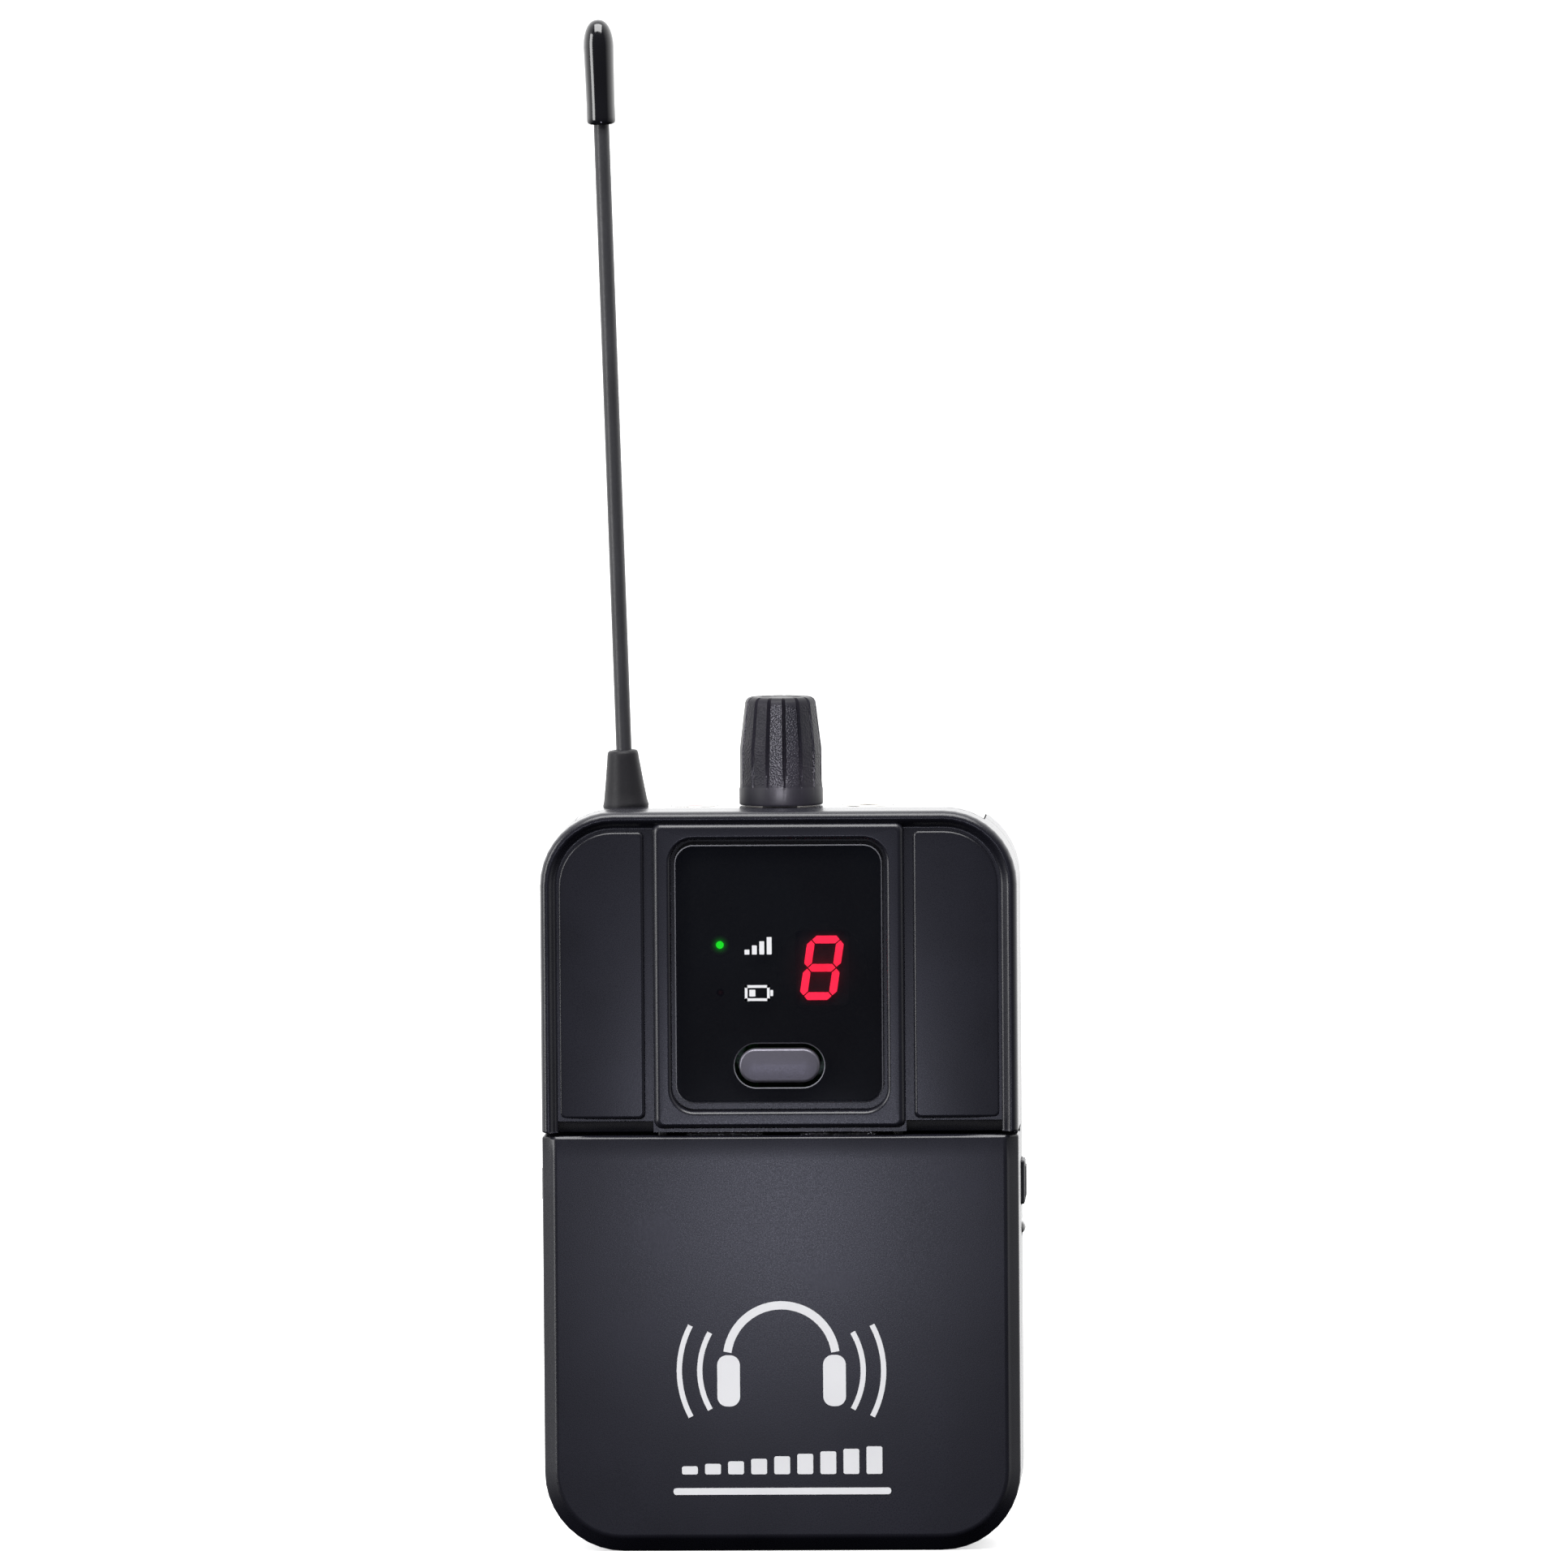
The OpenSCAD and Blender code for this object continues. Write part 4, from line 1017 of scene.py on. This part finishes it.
def make_top_fittings():
    """Indicator ring and lens, and the phones jack with its ring."""
    def fitting(name, profile, material, x, caps=(False, False)):
        return turned(name, profile, material, "case", (x, TOP_Y, HEIGHT), caps=caps)

    bezel = [(1.9, -2), (1.9, 0.0), (2.0, 0.07), (2.88, 0.07), (2.97, 0.02), (3.0, -0.05), (3.0, -0.3),
             (2.28, -0.3), (2.28, -2), (1.9, -2)]
    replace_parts(fitting("indicator_bezel", bezel, "nickel", INDICATOR_X), "indicator_ring")
    dome = [(1.88, -2.5), (1.88, -0.05), (1.7, 0.04), (1.3, 0.12), (0.8, 0.17), (0, 0.19)]
    lens = fitting("indicator_dome", dome, "lens_plastic", INDICATOR_X, (True, False))
    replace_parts(lens, "indicator_lens")
    nut = [(2.62, -0.3), (3.3, -0.3), (3.3, -0.02), (3.24, 0.06), (3.16, 0.1), (2.76, 0.1), (2.65, 0.04),
           (2.62, -0.04), (2.62, -0.3)]
    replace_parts(fitting("jack_nut", nut, "nickel", JACK_X), "jack_ring")
    barrel = [(1.8, -13.5), (1.8, -0.08), (1.95, 0.06), (2.5, 0.06), (2.6, -0.02), (2.6, -3.4), (2.0, -3.4),
              (2.0, -13.5), (1.8, -13.5)]
    fitting("jack_barrel", barrel, "nickel", JACK_X)
    low, high = corners("jack_body")
    housing = block("jack_housing", (low.x, high.x), (low.y, high.y), (low.z, HEIGHT - 3.3), "inner_plastic",
                    "case", 0)
    carve(housing, [round_cutter((JACK_X, TOP_Y, HEIGHT - 13.6), 2.02, 20, "Z")])
    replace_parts(housing, "jack_body")


# ---- latches, springs and clip ----


def make_latch(side, word):
    """Latch slider with a ribbed thumb tab and a spring behind it."""
    def moulded(name, near, far, y, half_z, bevel=0.25):
        return block(name, across(side, near, far), y, around(LATCH_Z, half_z), "latch_plastic",
                     word + "_latch", bevel)

    tab = moulded("latch_tab_" + word, 29.5, 32.0, (0.8, 6.8), 2.95, 0.35)
    for k in range(4):
        y = 1.9 + k * 1.25
        moulded(f"latch_grip_{word}_{k}", 31.8, 32.12, (y, y + 0.45), 2.1, 0.1)
    moulded("latch_slider_" + word, 22.6, 29.6, (1.8, 5.8), 2)
    moulded("latch_arm_" + word, 24.5, 27, (-6.2, 1.9), 1.5)
    moulded("latch_nose_" + word, 26.9, 28.5, (-6.2, -4.7), 1.5)
    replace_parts(tab, "latch_" + word)
    start_x, length, r = 16.4, 6.2, 1.35
    turns, per_turn = 6, 12
    points = []
    for i in range(turns * per_turn + 1):
        a = 2 * math.pi * i / per_turn
        points.append((side * (start_x + length * i / (turns * per_turn)), 3.8 + r * math.cos(a),
                       LATCH_Z + r * math.sin(a)))
    coil = tube("latch_coil_" + word, points, 0.2, "spring_steel", "case", 1, 8)
    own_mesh(coil)
    if side < 0:
        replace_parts(coil, "latch_springs")


def make_clip():
    """Belt clip: bent wire, in one look, parted at the pivots of its tongue; a bead closes each pivot."""
    pivot = (21, 12.2, 84.3)
    leg = [
        (28.7, 3, CLIP_Z), (29.8, 3, CLIP_Z), (30.75, 3.25, CLIP_Z), (GROOVE_X, 4.2, CLIP_Z),
        (GROOVE_X, 7, CLIP_Z), (GROOVE_X, 10.3, CLIP_Z), (30.6, 11.7, CLIP_Z + 0.2),
        (29.2, 12.2, CLIP_Z + 0.8), (25, 12.2, CLIP_Z + 2.6), (22, 12.2, CLIP_Z + 4.4),
        (21, 12.2, CLIP_Z + 7.5), (21, 12.2, 60), (21, 12.2, 72), (21, 12.2, 80), pivot,
    ]
    turn = [
        pivot, (20.6, 12.8, 86.3), (19, 14.2, 88.2), (16, 16.2, 88.9), (13, 17.7, 87.6), (11, 18.5, 84.2),
        (10.2, 18.9, 78), (9.8, 18.9, 68), (9.5, 18.6, 55), (9.1, 16.8, 46), (8.5, 13.7, 38), (7.6, 12.5, 33),
        (5.8, 12.55, 29.3), (3.2, 12.75, 27.5),
    ]
    bead = [on_circle(0, 0, 0.97, a) for a in range(-90, 91, 15)]
    for side, word in SIDES:
        points = [(side * x, y, z) for x, y, z in leg]
        wire = tube("clip_leg_" + word, points, 1.0, "clip_wire", "case", 6, 16)
        turned("clip_pivot_" + word, bead, "clip_wire", "clip_tongue", points[-1], segments=24,
               caps=(False, False))
    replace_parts(wire, "belt_clip_legs")
    points = turn + [(0, 12.8, 27)] + [(-x, y, z) for x, y, z in reversed(turn)]
    tongue = tube("clip_tongue_wire", points, 1.0, "clip_wire", "clip_tongue", 6, 16)
    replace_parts(tongue, "belt_clip_tongue")


# ---- batteries ----


def make_cells():
    """Two AA cells with shrunk jackets, plus nubs and minus plates."""
    length = 49.2
    for side, word in SIDES:
        node = "aa_cell_" + word
        low, high = corners(node)
        x, up = side * CELL_X, -side
        r = high.x - x
        start = low.z if up > 0 else high.z
        jacket = [(0, 0), (6.4, 0), (6.4, 0.05), (6.9, 0.02), (7.1, 0.15), (r, 0.5), (r, length - 0.7),
                  (r - 0.15, length - 0.3), (r - 0.5, length - 0.08), (5.6, length), (5.5, length - 0.15),
                  (0, length - 0.15)]
        nub = [(4.2, length - 0.16), (4.2, length + 0.05), (2.75, length + 0.08), (2.75, 50.2), (2.5, 50.48),
               (0, 50.5)]
        cell = turned(f"cell_{word}_jacket", [(a, start + up * h) for a, h in jacket], "cell_jacket", "case",
                      (x, CELL_Y, 0), caps=(False, False))
        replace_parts(cell, node)
        turned(f"cell_{word}_nub", [(a, start + up * h) for a, h in nub], "nickel", "case", (x, CELL_Y, 0),
               caps=(True, False))


def make_battery_springs():
    """Conical coil springs at the two minus contacts."""
    turns, per_turn = 3, 16
    for (side, word), (low, high) in zip(SIDES, ((3.05, 4.62), (53.58, 55.15))):
        points = []
        for i in range(turns * per_turn + 1):
            t = i / (turns * per_turn)
            r = 4.1 - 1.9 * (1 - t if side > 0 else t)
            a = 2 * math.pi * turns * t
            points.append((side * CELL_X + r * math.cos(a), CELL_Y + r * math.sin(a), low + (high - low) * t))
        coil = tube("battery_coil_" + word, points, 0.28, "spring_steel", "case", 1, 8)
        if side < 0:
            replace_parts(coil, "battery_springs")


def make_bay():
    """Battery bay: a back with ears, walls, a top, a bottom and half-round cradles for the cells."""
    def moulded(name, x, y, z, bevel):
        return block(name, x, y, z, "inner_plastic", "case", bevel)

    low, high = corners("battery_bay")
    back = (5.72, 6.9)
    inner, outer = 15.0, 15.0 + 1.2
    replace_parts(moulded("bay_back", (-outer, outer), back, (low.z, high.z), 0.2), "battery_bay")
    for side, word in SIDES:
        wall = moulded("bay_wall_" + word, across(side, inner, outer), (-8.2, 6.8), (low.z, high.z), 0.25)
        carve(wall, [round_cutter((-20, HINGE_Y, HINGE_Z), HINGE_HOLLOW_R, 40, "X")])
        moulded("bay_ear_" + word, across(side, 16, 22.5), back, (12, 17), 0.3)
    moulded("bay_top", (-outer, outer), (-8.2, 6.8), (55.6, 56.8), 0.2)
    moulded("bay_bottom", (-outer, outer), (-6.2, 6.8), (low.z, 2.6), 0.15)
    for k, z in enumerate((10, 28, 46)):
        rib = moulded(f"bay_cradle_{k}", (-inner, inner), (-1.2, 5.8), (z, z + 1.0), 0)
        carve(rib, [round_cutter((x, CELL_Y, z - 2), 7.35, 6, "Z") for x in (-CELL_X, CELL_X)])


# ---- assembling ----

make_front_shell()
make_rear_shell()
make_top_panel()
make_screws()
make_door()
make_print()
make_window()
make_button()
make_digit()
make_lamps()
make_symbols()
make_knob()
make_antenna()
make_top_fittings()
mirrored(make_latch)
make_clip()
make_cells()
make_battery_springs()
make_bay()

# ---- stage, light and camera ----


def make_floor():
    """Plain white floor that only the camera sees, so that it doesn't light the pack from below."""
    mesh = bpy.data.meshes.new("floor")
    mesh.from_pydata([(-6, -6, 0), (6, -6, 0), (6, 6, 0), (-6, 6, 0)], [], [(0, 1, 2, 3)])
    floor = bpy.data.objects.new("floor", mesh)
    bpy.context.scene.collection.objects.link(floor)
    material, tree, shader, coord = node_tree("floor_white")
    feed(tree, shader, {
        "Base Color": mix(tree, noise(tree, coord, 2, 1), (0.92, 0.92, 0.92), (0.96, 0.96, 0.96)),
        "Roughness": 0.9, "Emission Color": (1, 1, 1, 1), "Emission Strength": 0.55,
    })
    mesh.materials.append(material)
    floor.visible_glossy = False
    floor.visible_diffuse = False


def make_world():
    """White surroundings behind, above and beside the pack, darker on the camera's side and below."""
    world = bpy.data.worlds.new("studio")
    bpy.context.scene.world = world
    world.use_nodes = True
    tree = world.node_tree
    direction = add(tree, "SeparateXYZ", {"Vector": add(tree, "TexCoord", {}).outputs["Generated"]}).outputs
    behind = remap(tree, direction["Y"], 0.06, 2.2, -0.6, 0.4)
    above = remap(tree, direction["Z"], 0.0, 1.0, -0.5, 0.0)
    from_camera = add(tree, "LightPath", {}).outputs["Is Camera Ray"]
    level = maths(tree, "MAXIMUM", maths(tree, "MULTIPLY", behind, above), from_camera)
    feed(tree, tree.nodes["Background"], {"Color": (1, 1, 1, 1), "Strength": level})


def area_light(name, place, target, size, power, color=(1, 1, 1)):
    """Soft area light aimed at a point; places are in metres."""
    data = bpy.data.lights.new(name, "AREA")
    data.shape = "RECTANGLE"
    data.size, data.size_y = size
    data.energy = power
    data.color = color
    lamp = bpy.data.objects.new(name, data)
    bpy.context.scene.collection.objects.link(lamp)
    lamp.location = place
    lamp.rotation_mode = "QUATERNION"
    lamp.rotation_quaternion = (Vector(target) - Vector(place)).to_track_quat("-Z", "Y")
    return lamp


def make_lights():
    """Overhead softbox, one to the left, a small low one in front of the door and one for the knob alone."""
    area_light("softbox_top", (0, -0.35, 0.75), (0, 0, 0.08), (0.7, 0.5), 9)
    area_light("softbox_left", (-0.7, -0.45, 0.25), (0, 0, 0.08), (0.3, 0.6), 4)
    front = area_light("softbox_front", (-0.009, -0.25, 0.029), (-0.009, 0, 0.029), (0.036, 0.01), 0.034,
                       (0.80, 0.81, 1.0))
    front.visible_camera = False
    ribs = area_light("softbox_ribs", (0.002, -0.15, 0.121), (0, 0, 0.105), (0.04, 0.05), 0.5,
                      (0.92, 0.9, 1.0))
    ribs.visible_camera = False
    knob_only = bpy.data.collections.new("knob_only")
    knob_only.objects.link(bpy.data.objects["knob_grip"])
    ribs.light_linking.receiver_collection = knob_only


def make_camera():
    """Long lens, a little above and to the right of the pack's front, tipped by under a degree."""
    distance = 2.6
    azimuth, elevation, roll = math.radians(2.2), math.radians(3.5), math.radians(-0.42)
    view_width = 0.2067
    aim = Vector((0.0009, FRONT_Y * MM, 0.10165))
    back = Vector((math.sin(azimuth) * math.cos(elevation), -math.cos(azimuth) * math.cos(elevation),
                   math.sin(elevation)))
    data = bpy.data.cameras.new("camera")
    data.sensor_width = 36
    data.lens = 36 * distance / view_width
    data.clip_start, data.clip_end = 0.01, 50
    camera = bpy.data.objects.new("camera", data)
    bpy.context.scene.collection.objects.link(camera)
    camera.location = aim + back * distance
    camera.rotation_mode = "QUATERNION"
    camera.rotation_quaternion = (-back).to_track_quat("-Z", "Y")
    camera.rotation_quaternion.rotate(Matrix.Rotation(roll, 3, back))
    bpy.context.scene.camera = camera


make_floor()
make_world()
make_lights()
make_camera()
bpy.context.scene.view_settings.view_transform = "Standard"
